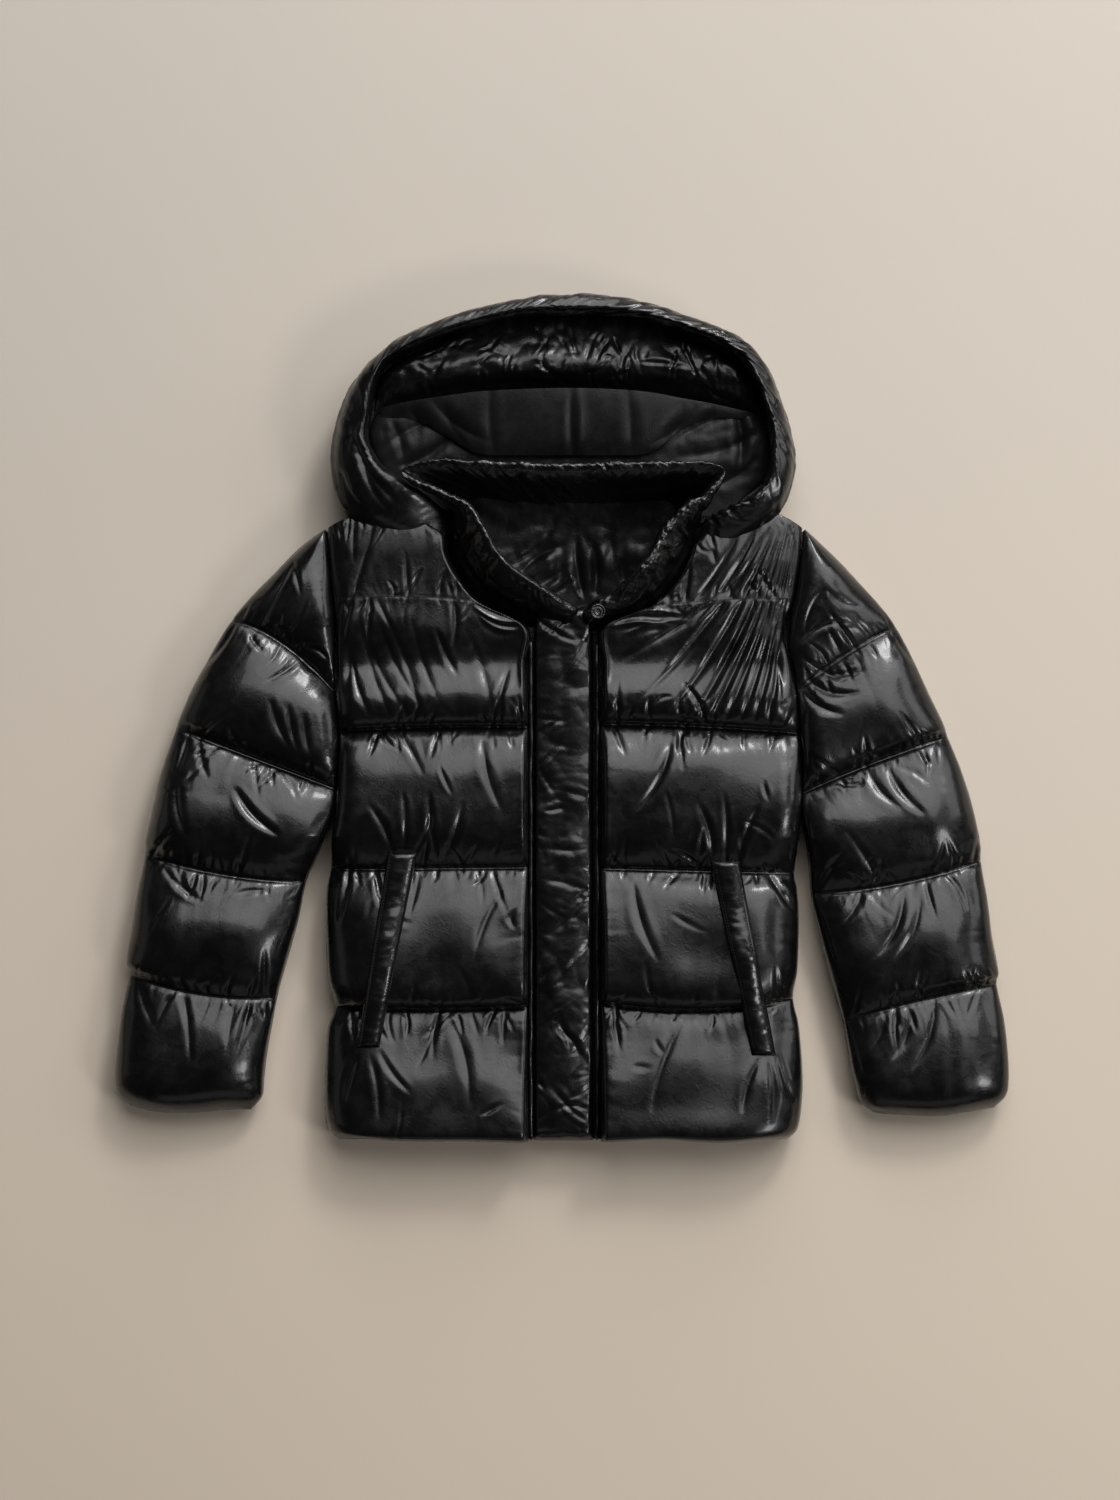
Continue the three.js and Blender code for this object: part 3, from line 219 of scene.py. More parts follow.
HOOD_EDGE = (
    HoodSection(-118, 170, -112, 206, 44),
    HoodSection(-158, 177, -138, 226, 66),
    HoodSection(-194, 189, -160, 240, 76),
    HoodSection(-219, 209, -177, 251),
    HoodSection(-229, 240, -187, 265),
    HoodSection(-230, 269, -193, 282),
    HoodSection(-224, 299, -190, 308),
    HoodSection(-212, 329, -185, 334),
    HoodSection(-194, 352, -176, 352),
    HoodSection(-170, 373, -158, 364),
    HoodSection(-145, 386, -138, 374),
    HoodSection(-117, 398, -112, 383),
    HoodSection(-77, 410, -74, 394),
    HoodSection(-39, 418, -37, 401),
    HoodSection(8, 422, 8, 402),
    HoodSection(48, 420, 46, 402),
    HoodSection(86, 412, 82, 397),
    HoodSection(138, 396, 131, 382),
    HoodSection(166, 384, 157, 371),
    HoodSection(187, 370, 175, 358),
    HoodSection(202, 352, 187, 342),
    HoodSection(212, 332, 195, 324),
    HoodSection(222, 305, 203, 299),
    HoodSection(229, 279, 207, 274),
    HoodSection(232, 253, 206, 252),
    HoodSection(228, 230, 200, 235),
    HoodSection(219, 210, 188, 222),
    HoodSection(204, 192, 166, 212, 76),
    HoodSection(177, 173, 144, 200, 66),
    HoodSection(146, 156, 124, 184, 44),
)


class CollarSection(NamedTuple):
    """One section of the collar: the middle of its foot, of its upper edge, and its thickness."""

    base_x: float
    base_y: float
    top_x: float
    top_y: float
    top_z: float
    thick: float


COLLAR = (
    CollarSection(0, 98, 12, 107, 70, 16),
    CollarSection(-34, 101, -10, 121, 82, 17),
    CollarSection(-62, 107, -33, 136, 88, 18),
    CollarSection(-87, 122, -52, 149, 91, 18),
    CollarSection(-105, 146, -67, 166, 92, 18),
    CollarSection(-113, 171, -79, 188, 92, 18),
    CollarSection(-112, 193, -94, 210, 90, 17),
    CollarSection(-102, 208, -124, 224, 88, 14),
    CollarSection(-84, 214, -160, 243, 84, 12),
    CollarSection(-62, 214, -126, 254, 88, 14),
    CollarSection(-32, 214, -78, 251, 91, 18),
    CollarSection(10, 214, -2, 248, 92, 18),
    CollarSection(50, 214, 62, 250, 92, 18),
    CollarSection(86, 214, 108, 251, 90, 16),
    CollarSection(106, 213, 138, 252, 87, 14),
    CollarSection(118, 208, 160, 244, 84, 12),
    CollarSection(126, 196, 146, 224, 87, 14),
    CollarSection(128, 178, 118, 205, 90, 17),
    CollarSection(123, 156, 99, 183, 92, 18),
    CollarSection(111, 134, 88, 160, 91, 18),
    CollarSection(90, 115, 72, 140, 88, 18),
    CollarSection(63, 104, 52, 122, 77, 18),
    CollarSection(30, 98, 24, 103, 70, 17),
)


# Maths on tables and grids


def smooth_rows(rows: Array, places: Array) -> Array:
    """Reads a table between its rows, on a cubic through each four neighbouring rows.

    Args:
        rows: (n, k) values, one row for each section.
        places: (m,) places along the table, 0 to n - 1.

    Returns:
        (m, k) values. Between rows p1 and p2 at share t the value is
        p1 + t (p2 - p0) / 2 + t^2 (p0 - 2.5 p1 + 2 p2 - p3 / 2) + t^3 (1.5 (p1 - p2) + (p3 - p0) / 2).
    """
    last = len(rows) - 1
    low = np.clip(np.floor(places).astype(int), 0, last - 1)
    t = (places - low)[:, None]
    p0, p1 = rows[np.maximum(low - 1, 0)], rows[low]
    p2, p3 = rows[low + 1], rows[np.minimum(low + 2, last)]
    linear = 0.5 * (p2 - p0)
    square = p0 - 2.5 * p1 + 2 * p2 - 0.5 * p3
    cube = 1.5 * (p1 - p2) + 0.5 * (p3 - p0)
    return p1 + t * (linear + t * (square + t * cube))


def rounded(distance: Array, reach: Array | float) -> Array:
    """A quarter round: 0 at the edge and 1 from `reach` inwards, sqrt(1 - (1 - d/reach)^2)."""
    return np.sqrt(1 - (1 - np.clip(distance / reach, 0, 1)) ** 2)


def smoothstep(low: float, high: float, value: Array) -> Array:
    """A smooth step, 3 t^2 - 2 t^3 of t, the share of the way from low to high."""
    t = np.clip((value - low) / (high - low), 0, 1)
    return t * t * (3 - 2 * t)


def run_of(line: Array) -> Array:
    """Distance along a (n, 2) or (n, 3) line at each of its points."""
    return np.concatenate([[0], np.cumsum(np.linalg.norm(np.diff(line, axis=0), axis=1))])


def normals_of(grid: Array) -> Array:
    """Unit normals of a grid: the cross product of its two central differences.

    Args:
        grid: (rows, columns, 3) points.

    Returns:
        As many normals, all on one side of the grid.
    """
    along = np.gradient(grid, axis=0)
    across = np.gradient(grid, axis=1)
    cross = np.cross(across, along)
    return cross / np.maximum(np.linalg.norm(cross, axis=2, keepdims=True), 1e-12)


class Fold(NamedTuple):
    """A crease in the cloth, in millimetres: its two ends, how far its middle bends aside, its
    depth (less than 0 for a ridge) and its half width."""

    from_x: float
    from_y: float
    to_x: float
    to_y: float
    bend: float
    depth: float
    width: float


# Every fold: the power of its fade, its width at the ends, its bottom's rounding in square
# millimetres, and its lips' height, distance and width, the widths in half widths of the fold
FOLD_FADE = 0.8
FOLD_TIP = 0.6
FOLD_BOTTOM = 0.35
LIP_HEIGHT = 0.24
LIP_AWAY = 2.6
LIP_WIDTH = 1.6


def fold_relief(folds: Sequence[Fold], x: Array, y: Array) -> Array:
    """How far a set of folds lowers the surface at x, y, in millimetres.

    Each fold is a sharp trough exp(-|a|/w) at the distance a from its line, with a low lip on both
    sides. Towards its ends it narrows, and its depth fades as a power of a sine.

    Args:
        folds: The folds.
        x: Places in the plan.
        y: Places in the plan.

    Returns:
        The depth at each place.
    """
    depth = np.zeros_like(x)
    for fold in folds:
        run = np.array([fold.to_x - fold.from_x, fold.to_y - fold.from_y])
        long = float(np.hypot(*run))
        ux, uy = run / long
        along = (x - fold.from_x) * ux + (y - fold.from_y) * uy
        aside = (x - fold.from_x) * uy - (y - fold.from_y) * ux
        share = np.clip(along / long, 0, 1)
        aside = aside - fold.bend * np.sin(np.pi * share)
        fade = np.sin(np.pi * np.clip(share, 0.004, 0.996)) ** FOLD_FADE
        width = fold.width * (FOLD_TIP + (1 - FOLD_TIP) * fade)
        beyond = np.maximum(np.maximum(-along, along - long), 0)
        near = np.exp(-((beyond / fold.width) ** 2))
        trough = np.exp(-np.sqrt(aside * aside + FOLD_BOTTOM) / width)
        lips = np.exp(-(((np.abs(aside) - LIP_AWAY * width) / (LIP_WIDTH * width)) ** 2))
        depth += fold.depth * fade * near * (trough - LIP_HEIGHT * lips)
    return depth


class Noise:
    """Seeded gradient noise on a plane, about -1 to 1, with one bump for each unit of length."""

    _SIZE = 97

    def __init__(self, seed: int) -> None:
        """Draws the lattice of gradients.

        Args:
            seed: Any number; the same one gives the same noise.
        """
        turns = np.random.default_rng(seed).uniform(0, 2 * math.pi, (self._SIZE, self._SIZE))
        self._grad_u, self._grad_v = np.cos(turns), np.sin(turns)

    def __call__(self, u: Array, v: Array) -> Array:
        """The noise at a place: its four corner gradients' dot products, mixed by 6t^5 - 15t^4 + 10t^3.

        Args:
            u: Places along the first axis, in bumps.
            v: Places along the second axis, in bumps.

        Returns:
            The value at each place.
        """
        iu, iv = np.floor(u).astype(int), np.floor(v).astype(int)
        fu, fv = u - iu, v - iv
        wu, wv = (f * f * f * (f * (6 * f - 15) + 10) for f in (fu, fv))

        def corner(du: int, dv: int) -> Array:
            """The dot product at the corner du, dv of each place's cell."""
            a, b = (iu + du) % self._SIZE, (iv + dv) % self._SIZE
            return self._grad_u[a, b] * (fu - du) + self._grad_v[a, b] * (fv - dv)

        low = corner(0, 0) * (1 - wu) + corner(1, 0) * wu
        high = corner(0, 1) * (1 - wu) + corner(1, 1) * wu
        return 1.6 * (low * (1 - wv) + high * wv)

    def billow(self, u: Array, v: Array) -> Array:
        """Round hills between sharp valleys: the noise's size less its mean.

        Args:
            u: Places along the first axis, in bumps.
            v: Places along the second axis, in bumps.

        Returns:
            The value at each place, about -0.35 to 0.65.
        """
        return np.sqrt(self(u, v) ** 2 + 0.0025) - 0.35


class Octave(NamedTuple):
    """One size of pucker, in millimetres: how far apart they are, how high, and how far from the
    seam they have faded to a third."""

    spacing: float
    height: float
    fade: float


EVERYWHERE = 1e4
SEAM_PUCKERS = (
    Octave(5.0, 0.55, 7),
    Octave(9.0, 1.1, 12),
    Octave(17.0, 1.2, 20),
    Octave(36.0, 1.0, 46),
)
EDGE_PUCKERS = (Octave(8.0, 0.5, 8), Octave(17.0, 0.9, 15))
GATHERS = (
    Octave(5.5, 0.5, EVERYWHERE),
    Octave(10.0, 1.1, EVERYWHERE),
    Octave(21.0, 2.0, EVERYWHERE),
)


def puckers(noise: Noise, along: Array, aside: Array, away: Array, octaves: Sequence[Octave]) -> Array:
    """The gathers that start at a seam and run away from it, wider apart the further they reach.

    Args:
        noise: Where they lie.
        along: Place along the seam, in millimetres.
        aside: Place across the seam, in millimetres.
        away: Distance from the nearest seam, in millimetres.
        octaves: Their sizes.

    Returns:
        The height that they add, in millimetres.
    """
    bent = along + 9 * noise(along / 70 + 31.7, aside / 60)
    total = np.zeros_like(along)
    for number, octave in enumerate(octaves):
        hills = noise.billow(bent / octave.spacing + 17.3 * number, aside / (7 * octave.spacing))
        total += octave.height * hills * np.exp(-away / octave.fade)
    return total * (1 - np.exp(-away / 1.6))


def scattered_folds(
    seed: int,
    box: tuple[float, float, float, float],
    count: int,
    turn: float,
    spread: float = 0.5,
    size: float = 1.0,
) -> tuple[Fold, ...]:
    """Small creases of seeded place, length, depth and direction.

    Args:
        seed: Gives the same folds again.
        box: Lowest x, lowest y, highest x and highest y of their middles, in millimetres.
        count: How many.
        turn: Their mean direction, in radians from +X.
        spread: Standard deviation of that direction.
        size: Scales length, depth and width.

    Returns:
        The folds.
    """
    rng = np.random.default_rng(seed)
    x, y = rng.uniform(box[0], box[2], count), rng.uniform(box[1], box[3], count)
    angle = rng.normal(turn, spread, count)
    half = rng.uniform(8, 30, count) * size
    depth = rng.uniform(0.5, 1.6, count) * size
    width = rng.uniform(1.3, 2.6, count) * size
    bend = rng.normal(0, 2, count)
    dx, dy = np.cos(angle) * half, np.sin(angle) * half
    rows = np.stack([x - dx, y - dy, x + dx, y + dy, bend, depth, width], axis=1)
    return tuple(Fold(*row) for row in rows)


RIGHT_FRONT_FOLDS = (
    Fold(-202, 104, -168, -4, 4, 1.2, 3),
    Fold(-178, 108, -138, -6, -4, 1.1, 2.5),
    Fold(-150, 100, -122, 16, 3, 1.2, 2.5),
    Fold(-212, 60, -190, 0, 2, 1.8, 2.5),
    Fold(-96, 90, -70, 0, -5, 0.9, 3),
    Fold(-132, -72, -125, -140, 2, 2.7, 2.5),
    Fold(-98, -80, -120, -142, -3, 2.1, 2.5),
    Fold(-168, -134, -192, -84, 3, 2.4, 2.5),
    Fold(-157, -132, -158, -72, 2, 2.1, 2),
    Fold(-146, -134, -128, -90, 2, 1.8, 2),
    Fold(-202, -332, -218, -384, 3, 2.4, 2.5),
    Fold(-191, -334, -182, -398, -3, 2.1, 2.5),
    Fold(-182, -330, -150, -372, 3, 1.8, 2),
    Fold(-80, -20, -60, -92, 4, 1.8, 3),
    Fold(-60, -170, -88, -240, 4, 1.8, 3),
    Fold(-110, -300, -92, -384, -5, 1.8, 3.5),
    Fold(-194, 81, -158, 10, 3, 1.2, 2.4),
    Fold(-181, 91, -139, 10, 3, 1.2, 2.2),
    Fold(-126, 91, -103, 42, 2, 2, 2.2),
    Fold(-88, 112, -40, 96, 6, -2.6, 2.2),
    Fold(-84, 103, -44, 88, 5, -2.2, 2),
)
LEFT_FRONT_FOLDS = (
    Fold(196, 196, 128, 92, -6, 2.6, 2.6),
    Fold(180, 194, 112, 96, -5, 2.2, 2.8),
    Fold(222, 80, 200, -4, -2, 2.4, 3),
    Fold(108, -24, 72, -92, -6, 3, 3),
    Fold(150, -138, 134, -82, 3, 2.4, 2.5),
    Fold(162, -138, 160, -74, 2, 2.1, 2),
    Fold(174, -140, 196, -84, -2, 2.4, 2.5),
    Fold(196, -336, 178, -392, 3, 2.4, 2.5),
    Fold(205, -338, 208, -402, -3, 2.1, 2.5),
    Fold(214, -334, 232, -388, 2, 1.8, 2.5),
    Fold(70, -160, 96, -242, 5, 1.8, 3),
    Fold(120, -300, 88, -392, 5, 2.1, 3.5),
    Fold(208, 194, 77, 19, -9, 3.2, 2.8),
    Fold(213, 194, 105, 4, -9, 4.2, 2.6),
    Fold(218, 193, 127, -3, -8, 4.6, 2.6),
    Fold(222, 192, 143, -7, -7, 4.8, 2.4),
    Fold(226, 191, 159, -8, -6, 4.8, 2.6),
    Fold(229, 190, 175, -8, -5, 5.0, 2.4),
    Fold(232, 188, 189, -7, -4, 4.6, 2.6),
    Fold(234, 186, 205, -5, -2, 3.4, 2.4),
    Fold(226, 150, 219, 0, 1, 3, 2.6),
    Fold(190, 150, 60, 60, -5, 2, 3),
    Fold(44, 100, 116, 104, -6, -2.8, 2.4),
    Fold(48, 91, 108, 92, -5, -2.4, 2.2),
    Fold(60, 84, 128, 98, -4, -1.8, 2.2),
    Fold(196, 120, 150, 40, -3, 2.6, 2.2),
    Fold(208, 110, 182, 30, -2, 2.8, 2.2),
)
RIGHT_SLEEVE_FOLDS = (
    Fold(-313, 90, -297, 66, 2, 2.2, 2),
    Fold(-262, 62, -238, 46, 3, 3.2, 2.5),
    Fold(-256, 72, -232, 58, -3, 2.8, 2),
    Fold(-290, 20, -270, -30, 3, 2.6, 3),
    Fold(-272, 14, -262, -34, 2, 2.4, 2.4),
    Fold(-256, 6, -250, -38, 2, 2.2, 2.4),
    Fold(-326, -68, -280, -117, 5, 3.8, 3),
    Fold(-362, -16, -352, -60, 3, 2.2, 2.4),
    Fold(-384, -60, -372, -120, 4, 2.4, 3.4),
    Fold(-400, -146, -358, -182, 3, 2.6, 2.4),
    Fold(-388, -140, -370, -176, 2, 2.2, 2),
    Fold(-330, -176, -290, -172, -3, 1.8, 2.4),
    Fold(-424, -258, -404, -310, 3, 1.6, 3),
    Fold(-320, -268, -334, -330, 3, 1.6, 3),
)
LEFT_SLEEVE_FOLDS = (
    Fold(236, 74, 290, 96, -8, 2.6, 3),
    Fold(238, 60, 300, 50, 10, 3.4, 3.2),
    Fold(240, 44, 296, 26, 9, 3.2, 3),
    Fold(238, 30, 280, 4, 6, 2.6, 3),
    Fold(240, 84, 262, 130, -5, 2.4, 3),
    Fold(262, 128, 300, 112, 5, 1.8, 3),
    Fold(300, -40, 336, -90, 6, 2.0, 3),
    Fold(322, -44, 360, -96, 5, 2.2, 3),
    Fold(268, -60, 300, -64, 3, 2.4, 2.4),
    Fold(300, -160, 276, -206, -5, 2.2, 3),
    Fold(340, -170, 312, -236, -7, 2.8, 3.4),
    Fold(356, -176, 330, -240, -6, 2.2, 3),
    Fold(350, -284, 326, -340, -5, 2.0, 3),
    Fold(372, -280, 346, -350, -6, 2.4, 3.4),
    Fold(322, -290, 306, -330, -4, 1.6, 3),
)
HOOD_FOLDS = (
    Fold(-208, 286, -164, 214, 8, 3.2, 3),
    Fold(-200, 262, -172, 206, 5, 2.8, 2.4),
    Fold(-222, 252, -190, 200, 6, 2.4, 3.2),
    Fold(-196, 300, -214, 262, 4, 2.2, 2.6),
    Fold(136, 206, 145, 194, 2, 3.0, 1.5),
    Fold(143, 207, 158, 190, 3, 3.2, 1.8),
    Fold(152, 210, 158, 200, 2, 2.8, 1.3),
    Fold(160, 213, 178, 198, 2, 3.4, 1.8),
    Fold(168, 218, 176, 212, 1, 2.6, 1.3),
    Fold(174, 222, 192, 212, 2, 3.0, 1.8),
    Fold(182, 231, 190, 228, 1, 2.6, 1.3),
    Fold(186, 238, 204, 232, 2, 2.8, 1.8),
    Fold(192, 252, 206, 252, -1, 2.4, 1.6),
    Fold(214, 300, 200, 256, 4, 2.0, 3),
)


# Meshes from grids


@dataclass
class Patch:
    """Vertices and quads that are joined into one mesh."""

    points: list[Array] = field(default_factory=list)
    quads: list[Array] = field(default_factory=list)
    count: int = 0

    def add(self, grid: Array, around: bool = False, down: bool = False) -> None:
        """Adds a (rows, columns, 3) grid of points in metres, its faces turned outwards.

        Args:
            grid: The points.
            around: Whether the last column meets the first, so that each row is a ring.
            down: Whether an open grid looks down.
        """
        rows, columns = grid.shape[:2]
        index = np.arange(rows * columns).reshape(rows, columns) + self.count
        if around:
            index = np.concatenate([index, index[:, :1]], axis=1)
        corners = (index[:-1, :-1], index[:-1, 1:], index[1:, 1:], index[1:, :-1])
        quads = np.stack(corners, axis=2).reshape(-1, 4)
        points = grid.reshape(-1, 3)
        a, b, c, d = (points[quads[:, k] - self.count] for k in range(4))
        outward = np.array([0.0, 0.0, -1.0 if down else 1.0])
        if around:
            middle = grid.mean(axis=1)
            outward = a - np.repeat(middle[:-1], columns, axis=0)
        if (np.cross(c - a, d - b) * outward).sum() < 0:
            quads = quads[:, ::-1]
        self.points.append(points)
        self.quads.append(quads)
        self.count += rows * columns

    def make(self, name: str) -> bpy.types.Object:
        """Makes the smooth-shaded object.

        Args:
            name: The piece's name.

        Returns:
            The new object, linked to the scene.
        """
        points = np.concatenate(self.points)
        quads = np.concatenate(self.quads)
        mesh = bpy.data.meshes.new(name)
        mesh.from_pydata(points.tolist(), [], quads.tolist())
        mesh.shade_smooth()
        obj = bpy.data.objects.new(name, mesh)
        bpy.context.scene.collection.objects.link(obj)
        return obj


def mesh_of(grid: Array, name: str, around: bool = False) -> bpy.types.Object:
    """Makes an object of one grid.

    Args:
        grid: (rows, columns, 3) points in metres.
        name: The piece's name.
        around: Whether each row is a ring.

    Returns:
        The new object.
    """
    patch = Patch()
    patch.add(grid, around=around)
    return patch.make(name)


def place_piece(
    obj: bpy.types.Object, material: bpy.types.Material, nodes: Sequence[str]
) -> None:
    """Gives a finished piece its body, material slot, finish and the solids it stands for.

    Args:
        obj: The piece.
        material: Its finish.
        nodes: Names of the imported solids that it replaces.
    """
    obj.data.materials.append(material)
    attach(obj, BODY)
    if nodes:
        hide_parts(*nodes)
    LOG.info("%s: %d faces", obj.name, len(obj.data.polygons))


def rimmed(grid: Array, rim: Array) -> Array:
    """Puts a rim round all four edges of a sheet.

    Args:
        grid: (rows, columns, 3) points of the sheet.
        rim: As many points, of which those at the edges are the rim.

    Returns:
        The (rows + 2, columns + 2, 3) grid.
    """
    tall = np.concatenate([rim[:1], grid, rim[-1:]])
    left = np.concatenate([rim[:1, :1], rim[:, :1], rim[-1:, :1]])
    right = np.concatenate([rim[:1, -1:], rim[:, -1:], rim[-1:, -1:]])
    return np.concatenate([left, tall, right], axis=1)


def with_skirt(grid: Array, floor_z: float, inset: float = 0.0012) -> Array:
    """Adds a rim under all four edges of a sheet, at one height and a little further in.

    Args:
        grid: (rows, columns, 3) points in metres.
        floor_z: The rim's height in metres.
        inset: How far the rim lies towards the sheet's middle, in metres.

    Returns:
        The grid with its rim.
    """
    rim = grid.copy()
    rim[..., 2] = floor_z
    toward = grid.mean(axis=(0, 1))[:2] - rim[..., :2]
    rim[..., :2] += inset * toward / np.maximum(np.linalg.norm(toward, axis=2, keepdims=True), 1e-6)
    return rimmed(grid, rim)


# Quilted fronts and sleeves


# Where each baffle of a front is highest, from the hem up: a share t of its length counts as
# t to this power, and the highest place is where that is one half.
CRESTS = (0.46, 0.5, 0.9, 0.55, 1.0)


class Side(Enum):
    """Which edge of a quilted piece lies along the armhole."""

    OUTER = "outer"
    INNER = "inner"


@dataclass
class QuiltedPanel:
    """A front or the upper half of a sleeve: baffles of down between seams that cross it.

    Attributes:
        name: The piece's name.
        node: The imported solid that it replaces.
        rows: Its sections, from the hem or the shoulder on.
        armhole_side: Which of its edges lies along the armhole.
        folds: The creases that are laid in one by one.
        seed: Gives the same noise and scattered creases again.
        crumples: How many creases are scattered over it.
        beside: For a sleeve, the front that it is sewn to.
        crests: Where each baffle is highest, as in CRESTS.
        hollow: How far the chest's baffle sinks in its middle, in millimetres.
        step: Distance between the mesh's points, in millimetres.
    """

    name: str
    node: str
    rows: tuple[Section, ...]
    armhole_side: Side
    folds: tuple[Fold, ...]
    seed: int
    crumples: int
    beside: QuiltedPanel | None = None
    crests: tuple[float, ...] = (1.0, 1.0, 1.0, 1.0, 1.0)
    hollow: float = 0.0
    step: float = 1.5
    grid: Array = field(init=False, repr=False)
    seam_rows: list[int] = field(init=False, repr=False)

    _GAP = 0.8
    _PUFF = 0.78
    _SWELL = 3.2
    _HOLLOW_Y = 54.0
    _HOLLOW_REACH = 25.0
    _GROOVE = 2.2
    _YOKE_GROOVE = 0.7
    _GROOVE_REACH = 1.9
    _SPIKE_SPACING = 6.0
    _TRIES = 40
    _CAUTION = 0.7

    def __post_init__(self) -> None:
        """Turns the rows into a table and puts a sleeve's ends on the armhole."""
        self.table = np.array(self.rows, float)
        self.seams = np.flatnonzero(~np.isnan(self.table[:, SEAM]))
        if self.beside is not None:
            at_armhole = np.isnan(self.table[:, IN_X])
            self.table[at_armhole, IN_X] = self._armhole_x(self.table[at_armhole, IN_Y])

    def _armhole_x(self, y: Array) -> Array:
        """The armhole's x, a gap away from the front that the sleeve is sewn to.

        Args:
            y: Places along the armhole, in millimetres.

        Returns:
            The x at each place.
        """
        line = self.beside.edge(Side.OUTER, np.linspace(0, len(self.beside.rows) - 1, 200))
        order = np.argsort(line[:, 1])
        away = math.copysign(self._GAP, self.rows[0].out_x)
        return np.interp(y, line[order, 1], line[order, 0]) + away

    def edge(self, side: Side, places: Array) -> Array:
        """The outer or inner edge in plan.

        Args:
            side: Which one.
            places: (m,) places along the table.

        Returns:
            (m, 2) points in millimetres.
        """
        first = 0 if side is Side.OUTER else IN_X
        line = smooth_rows(self.table[:, first : first + 2], places)
        if side is Side.INNER and self.beside is not None:
            beside = self._armhole_x(line[:, 1])
            line[:, 0] = np.sign(beside) * np.maximum(np.abs(line[:, 0]), np.abs(beside))
        return line

    def point(self, across: Array, places: Array, bridge: float = 0.0) -> Array:
        """Points of the smooth outer side.

        The wall is mixed between the seams' height and the loft by sin(pi t)^0.78 of the share t
        between two seams, then by a quarter round from each side edge.

        Args:
            across: (m,) shares from the outer edge to the inner one.
            places: (m,) places along the table.
            bridge: Least share of the loft, for what lies on the piece.

        Returns:
            (m, 5): x, y, z, distance to the nearest seam and local width, in millimetres.
        """
        outer, inner = self.edge(Side.OUTER, places), self.edge(Side.INNER, places)
        bow = smooth_rows(self.table[:, BOW, None], places)[:, 0]
        xy = outer + (inner - outer) * across[:, None]
        xy[:, 1] += bow * 4 * across * (1 - across)
        number = np.clip(np.searchsorted(self.seams, places, side="right") - 1, 0, len(self.seams) - 2)
        low, high = self.seams[number], self.seams[number + 1]
        t = (places - low) / (high - low)
        seam = self.table[low, SEAM] + (self.table[high, SEAM] - self.table[low, SEAM]) * t
        leaning = np.clip(t, 0, 1) ** np.array(self.crests)[number]
        puffed = np.maximum(np.sin(math.pi * leaning) ** self._PUFF, bridge)
        wall = seam + (self.table[low, LOFT] - seam) * puffed
        width = np.linalg.norm(inner - outer, axis=1)
        sewn = np.interp(places, np.arange(len(self.table)), self.table[:, SEWN])
        on_sleeve = self.armhole_side is Side.INNER
        joined = (np.zeros_like(sewn), sewn) if on_sleeve else (sewn, np.ones_like(sewn))
        tight = (SEWN_ROUNDING, SEWN_ROUNDING if on_sleeve else PLACKET_ROUNDING)
        for distance, share, least in zip((across * width, (1 - across) * width), joined, tight):
            edge = np.minimum(FREE_EDGE + (ARMHOLE_EDGE - FREE_EDGE) * share, 0.4 * seam + 0.5 * wall)
            reach = np.minimum(FREE_ROUNDING + (least - FREE_ROUNDING) * share, width / 2)
            wall = edge + (wall - edge) * rounded(distance, reach)
        below, above = (
            0.5 * (self.edge(Side.OUTER, end.astype(float)) + self.edge(Side.INNER, end.astype(float)))
            for end in (low, high)
        )
        span = np.linalg.norm(above - below, axis=1)
        from_low = np.where(self.table[low, SEAM] == FREE_EDGE, 1.0, t)
        from_high = np.where(self.table[high, SEAM] == FREE_EDGE, 1.0, 1 - t)
        away = np.minimum(from_low, from_high) * span
        return np.column_stack([xy, INSIDE_Z + np.maximum(wall, FREE_EDGE), away, width])

    def find(self, x: Array, y: Array) -> tuple[Array, Array]:
        """The across and place of plan points, by repeated correction.

        Args:
            x: (m,) in millimetres.
            y: (m,) in millimetres.

        Returns:
            The shares across and the places along the table.
        """
        across = np.full_like(x, 0.5)
        place = np.full_like(x, len(self.table) / 2)
        out_y = self.table[:, OUT_Y, None]
        for _ in range(self._TRIES):
            at = self.point(across, place)
            run = self.edge(Side.INNER, place)[:, 0] - self.edge(Side.OUTER, place)[:, 0]
            climb = (smooth_rows(out_y, place + 0.5) - smooth_rows(out_y, place - 0.5))[:, 0]
            across = np.clip(across + (x - at[:, 0]) / run, 0, 1)
            ahead = self._CAUTION * (y - at[:, 1]) / climb
            place = np.clip(place + ahead, 0.5, len(self.table) - 1.5)
        return across, place

    def _places(self) -> Array:
        """Places along the table about one step apart, with one on every seam.

        Returns:
            The places; `seam_rows` tells which of them lie on a seam.
        """
        parts: list[Array] = []
        self.seam_rows = [0]
        for low, high in zip(self.seams[:-1], self.seams[1:]):
            ends = self.edge(Side.OUTER, np.array([low, high], float))
            count = int(round(np.linalg.norm(ends[1] - ends[0]) / self.step)) + 12
            parts.append(np.linspace(low, high, count, endpoint=False))
            self.seam_rows.append(self.seam_rows[-1] + count)
        return np.concatenate([*parts, [float(self.seams[-1])]])

